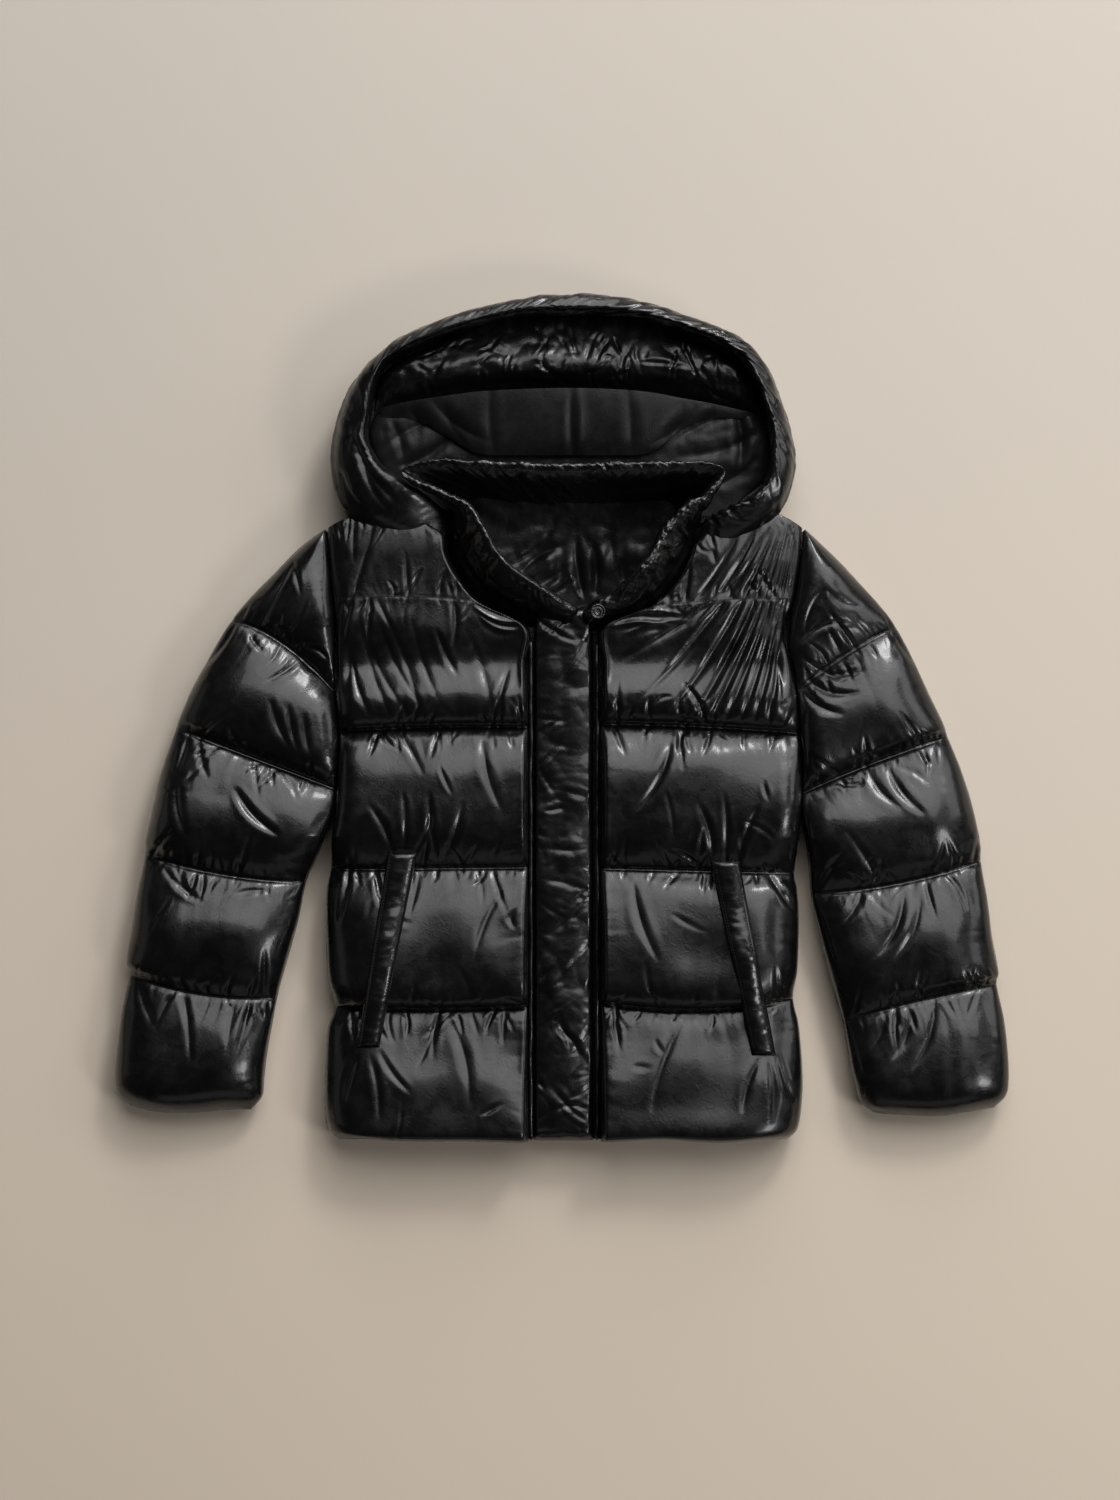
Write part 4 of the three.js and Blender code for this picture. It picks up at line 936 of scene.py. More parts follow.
    def build(self) -> Array:
        """Makes the crumpled surface, in metres.

        Returns:
            The (rows, columns, 3) grid.
        """
        places = self._places()
        widest = np.linalg.norm(self.edge(Side.INNER, places) - self.edge(Side.OUTER, places), axis=1).max()
        across = np.linspace(0, 1, int(widest / self.step) + 1)
        shape = (len(places), len(across))
        a, p = np.tile(across, shape[0]), np.repeat(places, shape[1])
        made = self.point(a, p)
        x, y, away, width = (made[:, k].reshape(shape) for k in (0, 1, 3, 4))
        grid = made[:, :3].reshape(*shape, 3)
        a = a.reshape(shape)
        noise = Noise(self.seed)
        relief = puckers(noise, a * width, y, away, SEAM_PUCKERS)
        to_edge = np.minimum(a, 1 - a) * width
        relief += puckers(Noise(self.seed + 1), y, x, to_edge, EDGE_PUCKERS)
        relief += self._SWELL * noise(x / 74 + 3.1, y / 66) * smoothstep(4, 40, away)
        creases = self.folds + self._crumpling(x, y) + self._spikes(grid)
        relief -= fold_relief(creases, x, y)
        groove = self._GROOVE + (self._YOKE_GROOVE - self._GROOVE) * smoothstep(95, 108, y)
        relief -= self.hollow * np.exp(-(((y - self._HOLLOW_Y) / self._HOLLOW_REACH) ** 2))
        relief -= groove * np.exp(-((away / self._GROOVE_REACH) ** 2))
        soft = smoothstep(0, 14, away + 2) * smoothstep(0, 14, to_edge + 2)
        normal = normals_of(grid)
        normal *= np.sign(normal[..., 2].mean())
        grid = grid + normal * (relief * (0.25 + 0.75 * soft))[..., None]
        grid[..., 2] = np.maximum(grid[..., 2], INSIDE_Z + 1.2)
        self.grid = grid * MM
        return self.grid

    def _crumpling(self, x: Array, y: Array) -> tuple[Fold, ...]:
        """Small creases scattered over the whole piece.

        Args:
            x: The mesh's x, in millimetres.
            y: The mesh's y, in millimetres.

        Returns:
            The folds, which slant down towards the placket.
        """
        box = (float(x.min()), float(y.min()), float(x.max()), float(y.max()))
        slant = math.copysign(1.05, -x.mean())
        return scattered_folds(self.seed, box, self.crumples, slant, 0.7)

    def _spikes(self, grid: Array) -> tuple[Fold, ...]:
        """Straight narrow creases that start at the seams and run a little way into the down.

        Args:
            grid: The smooth surface in millimetres.

        Returns:
            One fold for every spike's spacing of seam, of seeded length, lean and depth.
        """
        rng = np.random.default_rng(self.seed + 7)
        folds = []
        for row, seam in zip(self.seam_rows, self.seams):
            if self.table[seam, SEAM] == FREE_EDGE:
                continue
            line = grid[row, :, :2]
            way = line[-1] - line[0]
            count = int(np.linalg.norm(way) / self._SPIKE_SPACING)
            start = line[(np.sort(rng.uniform(0.02, 0.98, count)) * (len(line) - 1)).astype(int)]
            lean = rng.normal(0, 0.42, count)
            length = rng.gamma(1.6, 11, count) + 8
            up = np.where(rng.uniform(size=count) < 0.6, -1.0, 1.0)
            turn = math.atan2(way[1], way[0]) + math.pi / 2 + lean
            step = np.stack([np.cos(turn), np.sin(turn)], axis=1) * (up * length)[:, None]
            from_xy, to_xy = start - 0.25 * step, start + step
            depth = np.clip(rng.normal(1.5, 0.5, count), 0.5, 2.6) * np.sqrt(length / 34)
            width = 1.1 + 0.02 * length
            bend = rng.normal(0, 2.5, count)
            rows = np.column_stack([from_xy, to_xy, bend, depth, width])
            folds += [Fold(*values) for values in rows]
        return tuple(folds)

    def seam_lines(self) -> list[Array]:
        """The stitched rows of the built grid: all rows on a seam but the first and the last."""
        return [self.grid[row, 2:-2] for row in self.seam_rows[1:-1]]

    def dress(self, material: bpy.types.Material, fill: float) -> bpy.types.Object:
        """Turns the built grid into the finished piece.

        Args:
            material: Its finish.
            fill: How full it is, 0 to 1; not used.

        Returns:
            The piece.
        """
        obj = mesh_of(with_skirt(self.grid, INSIDE_Z * MM), self.name)
        place_piece(obj, material, [self.node])
        return obj


# The back layer


def underside(distance: Array) -> Array:
    """Height of the rounded underside at a distance from the outline, both in mm, 0 from 15 mm on."""
    return np.interp(distance, (0, 0.5, 1.5, 3.5, 7, 11, 15), (BACK_LAYER, 17.5, 11, 6.4, 3, 0.9, 0))


EDGE_DISTANCES = np.array([0, 0.3, 0.7, 1.2, 2, 3.2, 4.8, 7, 9.5, 12.5, 16])


@dataclass
class BackShell:
    """A back half that carries the jacket's weight, flat below and rounded at its sides.

    Attributes:
        name: The piece's name.
        node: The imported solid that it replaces.
        first: (n, 2) points of one edge in plan.
        second: (n, 2) points of the other edge.
        grooves: Rows with a quilting seam.
        step: Distance between the mesh's points across it, in millimetres.
    """

    name: str
    node: str
    first: Array
    second: Array
    grooves: Sequence[int] = ()
    step: float = 6.0

    _GROOVE = 5.0
    _GROOVE_REACH = 4.5
    _RIPPLE = 1.2

    def dress(self, material: bpy.types.Material, fill: float) -> bpy.types.Object:
        """Builds the underside between two edges in plan and finishes it.

        Each row runs between the edges' points of one number, and its points crowd at both ends.
        The height depends on the distance to the nearest edge, and dents a little at each groove.

        Args:
            material: Its finish.
            fill: How full it is, 0 to 1; not used.

        Returns:
            The piece.
        """
        width = np.linalg.norm(self.second - self.first, axis=1)[:, None]
        inside = np.linspace(0, 1, int(width.max() / self.step) + 2)[None, 1:-1]
        ends = np.minimum(EDGE_DISTANCES[None], 0.42 * width)
        middle = ends[:, -1:] + (width - 2 * ends[:, -1:]) * inside
        along = np.concatenate([ends, middle, width - ends[:, ::-1]], axis=1)
        share = (along / width)[..., None]
        plan = self.first[:, None] + (self.second - self.first)[:, None] * share
        centre = 0.5 * (self.first + self.second)
        run = run_of(centre)
        from_end = np.minimum(run, run[-1] - run)[:, None]
        distance = np.minimum(np.minimum(along, width - along), from_end + 0.02)
        height = underside(distance)
        for row in self.grooves:
            dent = np.exp(-((run - run[row])[:, None] / self._GROOVE_REACH) ** 2)
            height = height + self._GROOVE * dent * (height < 20)
        noise = Noise(len(self.name))
        x, y = plan[..., 0], plan[..., 1]
        ripple = self._RIPPLE * (noise.billow(y / 16, x / 60) + noise(x / 40, y / 9))
        ripple *= smoothstep(0, 4, distance) * (distance < EDGE_DISTANCES[-1])
        height = np.clip(height + ripple, 0, BACK_LAYER)
        grid = np.concatenate([plan, height[..., None]], axis=2) * MM
        lid = grid.copy()
        lid[..., 2] = BACK_LAYER * MM
        patch = Patch()
        patch.add(grid, down=True)
        patch.add(lid)
        obj = patch.make(self.name)
        place_piece(obj, material, [self.node])
        return obj


# Pieces swept along a table: the hood's edge and the collar


# Sections from foot to foot: share across the hood's edge or aside of the collar's middle, and
# share of the height
HOOD_PROFILE = np.array(
    [
        (0, 0), (-0.02, 0.35), (0, 0.6), (0.06, 0.8), (0.2, 0.9), (0.45, 0.965),
        (0.68, 1), (0.86, 0.97), (0.97, 0.86), (1, 0.55), (0.97, 0),
    ]
)
COLLAR_PROFILE = np.array(
    [
        (-1, 0), (-1, 0.3), (-1, 0.6), (-0.95, 0.82), (-0.6, 0.95), (0, 1),
        (0.6, 0.95), (0.95, 0.82), (1, 0.6), (1, 0.3), (1, 0),
    ]
)


def closed_ends(grid: Array, steps: Sequence[float] = (0.92, 0.7, 0.4, 0.02)) -> Array:
    """Draws both ends of a swept surface in to a point, as half rounds 6 mm long.

    Args:
        grid: (rows, columns, 3) points in metres, each row a section.
        steps: Sizes of the added sections, from the surface outwards.

    Returns:
        The longer grid.
    """
    ends = []
    for first, second in ((grid[0], grid[1]), (grid[-1], grid[-2])):
        middle = first.mean(axis=0)
        out = first.mean(axis=0) - second.mean(axis=0)
        out = out / np.linalg.norm(out)
        rings = [middle + (first - middle) * s + out * 0.006 * math.sqrt(1 - s * s) for s in steps]
        ends.append(np.stack(rings))
    return np.concatenate([ends[0][::-1], grid, ends[1]])


@dataclass
class HoodEdge:
    """The padded roll round the hood's opening, gathered all along."""

    name: str = "hood_brim"
    step: float = 1.9
    grid: Array = field(init=False, repr=False)

    # Shares of its length with the power that shapes its section there
    _SLOPES = ((0, 0.26, 0.34, 0.66, 0.74, 1), (0.5, 0.55, 0.9, 0.9, 0.6, 0.5))
    # Shares of its length with the strength of its gathers there
    _GATHERED = (
        (0, 0.1, 0.2, 0.34, 0.5, 0.62, 0.8, 0.9, 1),
        (0.3, 0.35, 0.6, 1.1, 1.35, 1.35, 0.9, 0.8, 0.7),
    )

    def build(self) -> Array:
        """Sweeps the round-topped section from the outer foot over to the inner one.

        Returns:
            The (rows, columns, 3) grid in metres.
        """
        table = np.array(HOOD_EDGE, float)
        fine = np.linspace(0, len(table) - 1, 600)
        rough = smooth_rows(table, fine)
        run = run_of(0.5 * (rough[:, 0:2] + rough[:, 2:4]))
        even = np.interp(np.linspace(0, run[-1], int(run[-1] / self.step)), run, fine)
        rows = smooth_rows(table, even)
        section = smooth_rows(HOOD_PROFILE, np.linspace(0, len(HOOD_PROFILE) - 1, 64))
        share = even[:, None] / (len(table) - 1)
        slope = np.interp(share, *self._SLOPES)
        across, up = np.clip(section[None, :, 0], 0, 1) ** slope, section[None, :, 1]
        outer, inner, top = rows[:, None, 0:2], rows[:, None, 2:4], rows[:, None, 4]
        xy = outer + (inner - outer) * across[..., None]
        z = INSIDE_Z + (top - INSIDE_Z) * up
        grid = np.concatenate([xy, z[..., None]], axis=2)
        along = run_of(0.5 * (rows[:, 0:2] + rows[:, 2:4]))[:, None] * np.ones_like(up)
        over = run_of(section * (40, 56))[None] * np.ones_like(along)
        noise = Noise(11)
        strength = np.interp(share, *self._GATHERED)
        relief = puckers(noise, along + 0.9 * over, over, np.full_like(along, 60.0), GATHERS)
        creases = scattered_folds(12, (0, 20, float(along.max()), 120), 260, 1.1, 0.45, 0.5)
        relief = strength * (relief - 0.9 * fold_relief(creases, along, over)) * smoothstep(0, 0.22, up)
        relief -= fold_relief(HOOD_FOLDS, grid[..., 0], grid[..., 1]) * smoothstep(0.3, 0.7, up)
        normal = normals_of(grid)
        flip = np.sign((normal[:, 24:40, 2]).mean())
        self.grid = (grid + flip * normal * relief[..., None]) * MM
        return self.grid

    def dress(self, material: bpy.types.Material) -> bpy.types.Object:
        """Finishes the built surface as a padded piece.

        Args:
            material: Its finish.

        Returns:
            The piece.
        """
        obj = mesh_of(closed_ends(self.grid), self.name, around=True)
        place_piece(obj, material, ["hood_edge"])
        return obj


@dataclass
class Collar:
    """The padded stand collar, open at the front above the snap."""

    name: str = "stand_collar"
    step: float = 1.9
    grid: Array = field(init=False, repr=False)

    # Shares of its length with how rumpled it is there, and with the strength of all its relief
    _RUMPLED = ((0, 0.3, 0.4, 0.6, 0.72, 1), (1.0, 0.8, 0.3, 0.3, 1.3, 1.2))
    _STRENGTH = ((0, 0.3, 0.45, 0.65, 0.8, 1), (0.6, 0.7, 1.0, 0.8, 1.2, 1.1))
    # The seam below its edge: how deep, how far over the section, and how wide
    _SEAM_DEPTH = 3.0
    _SEAM_OVER = 108.0
    _SEAM_REACH = 3.2
    _CRINKLE = 2.6
    _LUMPS = 4.2

    def build(self) -> Array:
        """Sweeps the leaning wall's section from the right front end to the left one.

        Returns:
            The (rows, columns, 3) grid in metres.
        """
        table = np.array(COLLAR, float)
        fine = np.linspace(0, len(table) - 1, 700)
        rough = smooth_rows(table, fine)
        run = run_of(rough[:, 2:4])
        even = np.interp(np.linspace(0, run[-1], int(run[-1] / self.step)), run, fine)
        rows = smooth_rows(table, even)
        section = smooth_rows(COLLAR_PROFILE, np.linspace(0, len(COLLAR_PROFILE) - 1, 72))
        aside, up = section[None, :, 0], section[None, :, 1]
        foot, top = rows[:, None, 0:2], rows[:, None, 2:4]
        height, thick = rows[:, None, 4], rows[:, None, 5]
        sides = []
        for line in (rows[:, 0:2], rows[:, 2:4]):
            way = np.gradient(line, axis=0)
            way = np.stack([-way[:, 1], way[:, 0]], axis=1)
            sides.append((way / np.linalg.norm(way, axis=1, keepdims=True))[:, None])
        normal = sides[0] + (sides[1] - sides[0]) * up[..., None]
        half = 0.5 * thick * aside
        xy = foot + (top - foot) * up[..., None] + normal * half[..., None]
        z = INSIDE_Z + (height - INSIDE_Z) * up
        grid = np.concatenate([xy, z[..., None]], axis=2)
        along = run_of(rows[:, 2:4])[:, None] * np.ones_like(up)
        over = run_of(section * (9, 65))[None] * np.ones_like(along)
        noise = Noise(23)
        relief = puckers(noise, along + 0.4 * over, over, np.full_like(along, 50.0), GATHERS)
        relief += 1.6 * noise.billow(over / 24, along / 46)
        crinkle = Noise(24).billow((along + 0.8 * over) / 4.6, over / 30)
        crinkle = crinkle + 0.8 * Noise(25).billow((along - over) / 8, over / 22)
        at_edge = np.exp(-(((up - 1) / 0.22) ** 2)) * (np.abs(aside) < 0.97)
        relief += self._CRINKLE * crinkle * at_edge
        share = even[:, None] / (len(table) - 1)
        rumpled = np.interp(share, *self._RUMPLED)
        relief += self._LUMPS * rumpled * Noise(26).billow((along + 0.5 * over) / 30, over / 26)
        seam = np.exp(-(((over - self._SEAM_OVER) / self._SEAM_REACH) ** 2))
        relief -= self._SEAM_DEPTH * (1 - rumpled * 0.4) * seam
        creases = scattered_folds(27, (0, 20, float(along.max()), 150), 130, 1.3, 0.6, 0.6)
        relief -= 2.0 * fold_relief(creases, along, over)
        relief = 0.75 * np.interp(share, *self._STRENGTH) * relief * smoothstep(0, 0.2, up)
        relief -= fold_relief(COLLAR_FOLDS, grid[..., 0], grid[..., 1]) * smoothstep(0.1, 0.6, up)
        outward = normals_of(grid)
        flip = np.sign((outward[:, 30:42, 2]).mean())
        self.grid = (grid + flip * outward * relief[..., None]) * MM
        return self.grid

    def dress(self, material: bpy.types.Material) -> bpy.types.Object:
        """Finishes the built surface as a padded piece.

        Args:
            material: Its finish.

        Returns:
            The piece.
        """
        obj = mesh_of(closed_ends(self.grid), self.name, around=True)
        place_piece(obj, material, ["collar"])
        return obj

    def stitch_line(self, column: int, low: float, high: float) -> Array:
        """Points of the built surface along one column, between two shares of its length."""
        last = len(self.grid) - 1
        return self.grid[int(low * last) : int(high * last), column]


# Linings


class LiningRow(NamedTuple):
    """One row across a lining: height in plan, its ends, its wall and its middle's rise in plan."""

    y: float
    from_x: float
    to_x: float
    wall: float
    arch: float


HOOD_UPPER_ROWS = (
    LiningRow(303, -189, 202, 3, 25),
    LiningRow(318, -188, 198, 11, 19),
    LiningRow(334, -186, 192, 21, 13),
    LiningRow(349, -177, 184, 23, 8),
    LiningRow(361, -160, 170, 20, 6),
    LiningRow(373, -134, 146, 16, 5),
    LiningRow(384, -112, 126, 12, 5),
    LiningRow(396, -92, 106, 8, 6),
)
HOOD_LOWER_ROWS = (
    LiningRow(203, -128, 166, 3, 0),
    LiningRow(222, -150, 182, 5, 0),
    LiningRow(240, -172, 204, 7, 0),
    LiningRow(256, -184, 210, 10, 0),
    LiningRow(272, -192, 211, 12, 4),
    LiningRow(285, -194, 209, 13, 12),
    LiningRow(295, -192, 205, 13, 20),
    LiningRow(303, -189, 202, 12, 25),
)
NECK_ROWS = (
    LiningRow(112, -14, 42, 3, 0),
    LiningRow(124, -46, 70, 5, 0),
    LiningRow(142, -76, 96, 7, 0),
    LiningRow(160, -92, 108, 10, 0),
    LiningRow(178, -104, 118, 11, 0),
    LiningRow(200, -104, 118, 14, 0),
    LiningRow(220, -100, 114, 21, 0),
)
HOOD_LOWER_FOLDS = (
    Fold(-168, 252, -110, 284, 6, 4.6, 4),
    Fold(-176, 274, -118, 300, -5, 4.0, 4),
    Fold(-150, 240, -108, 262, 3, 4.0, 4),
    Fold(-158, 246, -172, 300, 4, 3.0, 3),
    Fold(176, 246, 174, 312, 4, 5.0, 4),
    Fold(112, 262, 196, 286, 6, 4.6, 4),
    Fold(108, 276, 180, 306, -5, 4.0, 4),
    Fold(150, 232, 196, 262, 4, 3.4, 4),
    Fold(-40, 236, 60, 240, 3, 2.5, 6),
)
NECK_FOLDS = (
    Fold(14, 182, 22, 120, 3, 4.5, 3.4),
    Fold(31, 176, 33, 122, -2, 4.5, 3),
    Fold(-62, 150, -6, 190, 5, 4.5, 5),
    Fold(-50, 140, 2, 176, -4, 4.5, 4),
    Fold(-34, 130, 10, 158, 3, 3.5, 3.4),
    Fold(-14, 124, 14, 142, 2, 2.5, 3),
    Fold(62, 182, 64, 132, 3, 3.0, 6),
    Fold(44, 186, 50, 150, -3, 2.4, 4),
)
COLLAR_FOLDS = (
    Fold(122, 208, 140, 168, 4, 4.4, 2.6),
    Fold(108, 192, 130, 156, -4, 4.0, 2.6),
    Fold(134, 216, 154, 186, 3, 3.6, 2.4),
    Fold(98, 174, 118, 144, 3, 3.4, 2.6),
    Fold(84, 152, 98, 126, 3, 2.8, 2.4),
    Fold(-96, 206, -116, 168, -4, 3.6, 2.6),
    Fold(-80, 186, -108, 150, 4, 3.4, 2.6),
    Fold(-62, 160, -88, 126, 3, 3.0, 2.4),
)


class BandColumn(NamedTuple):
    """One column of the slack band: its x, its upper and lower edge and its rise."""

    x: float
    high_y: float
    low_y: float
    rise: float


HOOD_BAND = (
    BandColumn(-182, 311, 301, 1),
    BandColumn(-150, 317, 299, 9),
    BandColumn(-118, 321, 283, 16),
    BandColumn(-84, 325, 264, 21),
    BandColumn(-40, 327, 262, 25),
    BandColumn(4, 328, 262, 26),
    BandColumn(50, 327, 262, 25),
    BandColumn(88, 324, 265, 22),
    BandColumn(118, 319, 288, 16),
    BandColumn(150, 314, 300, 9),
    BandColumn(188, 306, 299, 1),
)
BAND_FOLDS = (
    Fold(-154, 312, -98, 268, 8, 3.4, 6),
    Fold(-132, 319, -72, 276, 6, 2.6, 5),
    Fold(152, 308, 102, 280, -8, 3.4, 6),
    Fold(134, 315, 84, 272, -6, 2.6, 5),
    Fold(-72, 330, -68, 258, 2, 2.6, 4),
    Fold(9, 332, 10, 256, 1, 3.2, 2.6),
    Fold(17, 330, 16, 262, -1, -1.6, 4),
    Fold(64, 330, 68, 258, -2, 2.2, 4),
    Fold(-120, 318, -96, 272, 4, 1.6, 5),
    Fold(120, 316, 104, 276, -4, 1.6, 5),
)


@dataclass
class Lining:
    """A layer of cloth inside the hood or the neck, higher in its middle than at its ends.

    Attributes:
        name: The piece's name.
        node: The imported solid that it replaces.
        rows: Its table.
        folds: Its creases.
        seed: Gives the same noise again.
        crumple: Strength of the noise.
        step: Distance between the mesh's points, in millimetres.
        grid: The built surface, in metres.
    """

    name: str
    node: str
    rows: tuple[LiningRow, ...]
    folds: tuple[Fold, ...]
    seed: int
    crumple: float
    step: float = 2.0
    grid: Array = field(init=False, repr=False)

    def build(self) -> Array:
        """Makes the sheet: wall heights between the rows, rounded off at the ends and creased.

        Returns:
            The (rows, columns, 3) grid in metres.
        """
        count = int((self.rows[-1].y - self.rows[0].y) / self.step)
        places = np.linspace(0, len(self.rows) - 1, count)
        rows = smooth_rows(np.array(self.rows, float), places)[:, None]
        row_y, from_x, to_x, height, arch = np.moveaxis(rows, -1, 0)
        widest = max(row.to_x - row.from_x for row in self.rows)
        across = np.linspace(0, 1, int(widest / self.step))[None]
        x = from_x + (to_x - from_x) * across
        y = row_y + arch * 4 * across * (1 - across)
        edge = rounded(np.minimum(across, 1 - across) * (to_x - from_x), SEWN_ROUNDING)
        wall = FREE_EDGE + (height - FREE_EDGE) * edge
        noise = Noise(self.seed)
        lumps = noise.billow((x + 0.9 * y) / 34, (y - 0.5 * x) / 30)
        relief = self.crumple * (3.0 * lumps + 1.1 * noise.billow(x / 12, y / 24 + 5))
        relief -= fold_relief(self.folds, x, y)
        wall = np.maximum(wall + relief * edge, 1.0)
        self.grid = np.stack([x, y, INSIDE_Z + wall], axis=2) * MM
        return self.grid

    def dress(
        self, material: bpy.types.Material, quilted: bool, rests_on: Sequence[str]
    ) -> bpy.types.Object:
        """Finishes the built sheet.

        Args:
            material: Its finish.
            quilted: Whether down fills it; not used.
            rests_on: What plain cloth lies on; not used.

        Returns:
            The piece.
        """
        obj = mesh_of(self.grid, self.name)
        place_piece(obj, material, [self.node])
        return obj


@dataclass
class HoodBand:
    """The slack band of lining that sags across the hood from side to side."""

    below: Lining
    name: str = "hood_band"
    grid: Array = field(init=False, repr=False)

    _LIFT = 1.6
    _LOW_RISE = 0.25
    _BELOW = 8.4
    _HEM = 0.0014

    def build(self) -> Array:
        """Makes the sagging sheet, over its table of columns, with its upright creases.

        Returns:
            The (rows, columns, 3) grid in metres.
        """
        table = np.array(HOOD_BAND, float)
        columns = smooth_rows(table, np.linspace(0, len(table) - 1, 190))[None]
        column_x, high_y, low_y, height = np.moveaxis(columns, -1, 0)
        down = np.linspace(0, 1, 44)[:, None]
        x = column_x * np.ones_like(down)
        y = low_y + (high_y - low_y) * down
        rise = height * (self._LOW_RISE + (1 - self._LOW_RISE) * np.sin(math.pi / 2 * down))
        noise = Noise(41)
        relief = 0.4 * noise.billow(x / 30, y / 60) - fold_relief(BAND_FOLDS, x, y)
        relief *= np.clip(height / 9, 0, 1)
        from_sides = np.minimum(x + 186, 200 - x)
        base = INSIDE_Z + FREE_EDGE + self._BELOW * rounded(from_sides, SEWN_ROUNDING)
        z = base + self._LIFT + rise + relief
        self.grid = np.stack([x, y, z], axis=2) * MM
        return self.grid

    def dress(self, material: bpy.types.Material) -> bpy.types.Object:
        """Finishes the band as a sheet with a narrow turned hem on its lower edge.

        Args:
            material: Its finish.

        Returns:
            The piece.
        """
        hem = self.grid[:3][::-1].copy()
        hem[..., 2] -= self._HEM
        obj = mesh_of(np.concatenate([hem, self.grid]), self.name)
        place_piece(obj, material, ["hood_lining_band"])
        return obj


# Placket, pipings, pockets, snap and stitching


@dataclass
class Placket:
    """The soft strip over the zip, creased crosswise all the way down."""

    name: str = "front_placket"
    from_x: float = -29.2
    to_x: float = 30.8
    top_y: float = 114.0
    grid: Array = field(init=False, repr=False)

    _WALL = 20.0
    _CROWN = 4.0
    _SIDE_ROUNDING = 4.5
    _END_ROUNDING = 14.0

    def build(self) -> Array:
        """Makes the strip: a low crown across it and slanted creases of three sizes.

        Returns:
            The (rows, columns, 3) grid in metres.
        """
        y = np.linspace(HEM_Y + 1, self.top_y, 340)[:, None]
        across = np.linspace(0, 1, 44)[None]
        x = self.from_x + (self.to_x - self.from_x) * across + 0 * y
        y = y + 0 * across
        side = rounded(np.minimum(x - self.from_x, self.to_x - x), self._SIDE_ROUNDING)
        end = rounded(np.minimum(y - HEM_Y, self.top_y - y) + 1, self._END_ROUNDING)
        noise, other = Noise(57), Noise(58)
        slant = 1.1 * noise(y / 70, x / 300) * x
        wall = self._WALL + self._CROWN * 4 * across * (1 - across)
        wall = wall + 3.4 * noise.billow((y + 1.5 * slant) / 52, x / 50)
        wall = wall + 1.2 * other.billow((y - 2.2 * slant) / 26, x / 30)
        wall = wall + 0.4 * noise.billow((y + 0.9 * slant) / 9, x / 22 + 9)
        box = (self.from_x, HEM_Y, self.to_x, self.top_y)
        creases = scattered_folds(59, box, 26, 0.6, 0.5, 1.2)
        creases += scattered_folds(60, box, 18, -0.7, 0.4, 1.2)
        wall = wall - fold_relief(creases, x, y)
        wall = FREE_EDGE + (wall - FREE_EDGE) * side * end
        self.grid = np.stack([x, y, INSIDE_Z + wall], axis=2) * MM
        return self.grid

    def dress(self, material: bpy.types.Material) -> bpy.types.Object:
        """Finishes the built strip.

        Args:
            material: Its finish.

        Returns:
            The piece.
        """
        obj = mesh_of(with_skirt(self.grid, INSIDE_Z * MM, 0.0004), self.name)
        place_piece(obj, material, ["placket"])
        return obj


@dataclass
class Piping:
    """A corded piping beside the placket: a round bead on a stem, a little wavy."""

    name: str
    node: str
    x: float
    top_y: float
    seed: int
    grid: Array = field(init=False, repr=False)

    _BEAD = 1.9
    _STEM = 0.7
    _UP = 20.0

    def build(self) -> Array:
        """Sweeps the bead and stem's section down the seam.

        Returns:
            The (rows, columns, 3) grid in metres, closed across.
        """
        y = np.linspace(self.top_y, HEM_Y + 7, 300)
        noise = Noise(self.seed)
        turn = np.linspace(-0.36, 1.36, 13) * math.pi
        bead = np.stack([np.cos(turn) * self._BEAD, self._UP + np.sin(turn) * self._BEAD], axis=1)
        section = np.concatenate([[(self._STEM, 0.0)], bead, [(-self._STEM, 0.0)]])
        high = np.clip(section[:, 1] / self._UP, 0, 1)[None]
        x = self.x + section[None, :, 0] + 0.9 * noise(y / 40, y * 0)[:, None] * high
        z = INSIDE_Z + section[None, :, 1] + (1.1 * noise(y / 22, y * 0 + 5) - 0.8)[:, None] * high
        self.grid = np.stack([x, y[:, None] + 0 * x, z], axis=2) * MM
        return self.grid

    def dress(self, material: bpy.types.Material) -> bpy.types.Object:
        """Finishes the piping.

        Args:
            material: Its finish.

        Returns:
            The piece.
        """
        obj = mesh_of(closed_ends(self.build(), (0.7, 0.02)), self.name, around=True)
        place_piece(obj, material, [self.node])
        return obj


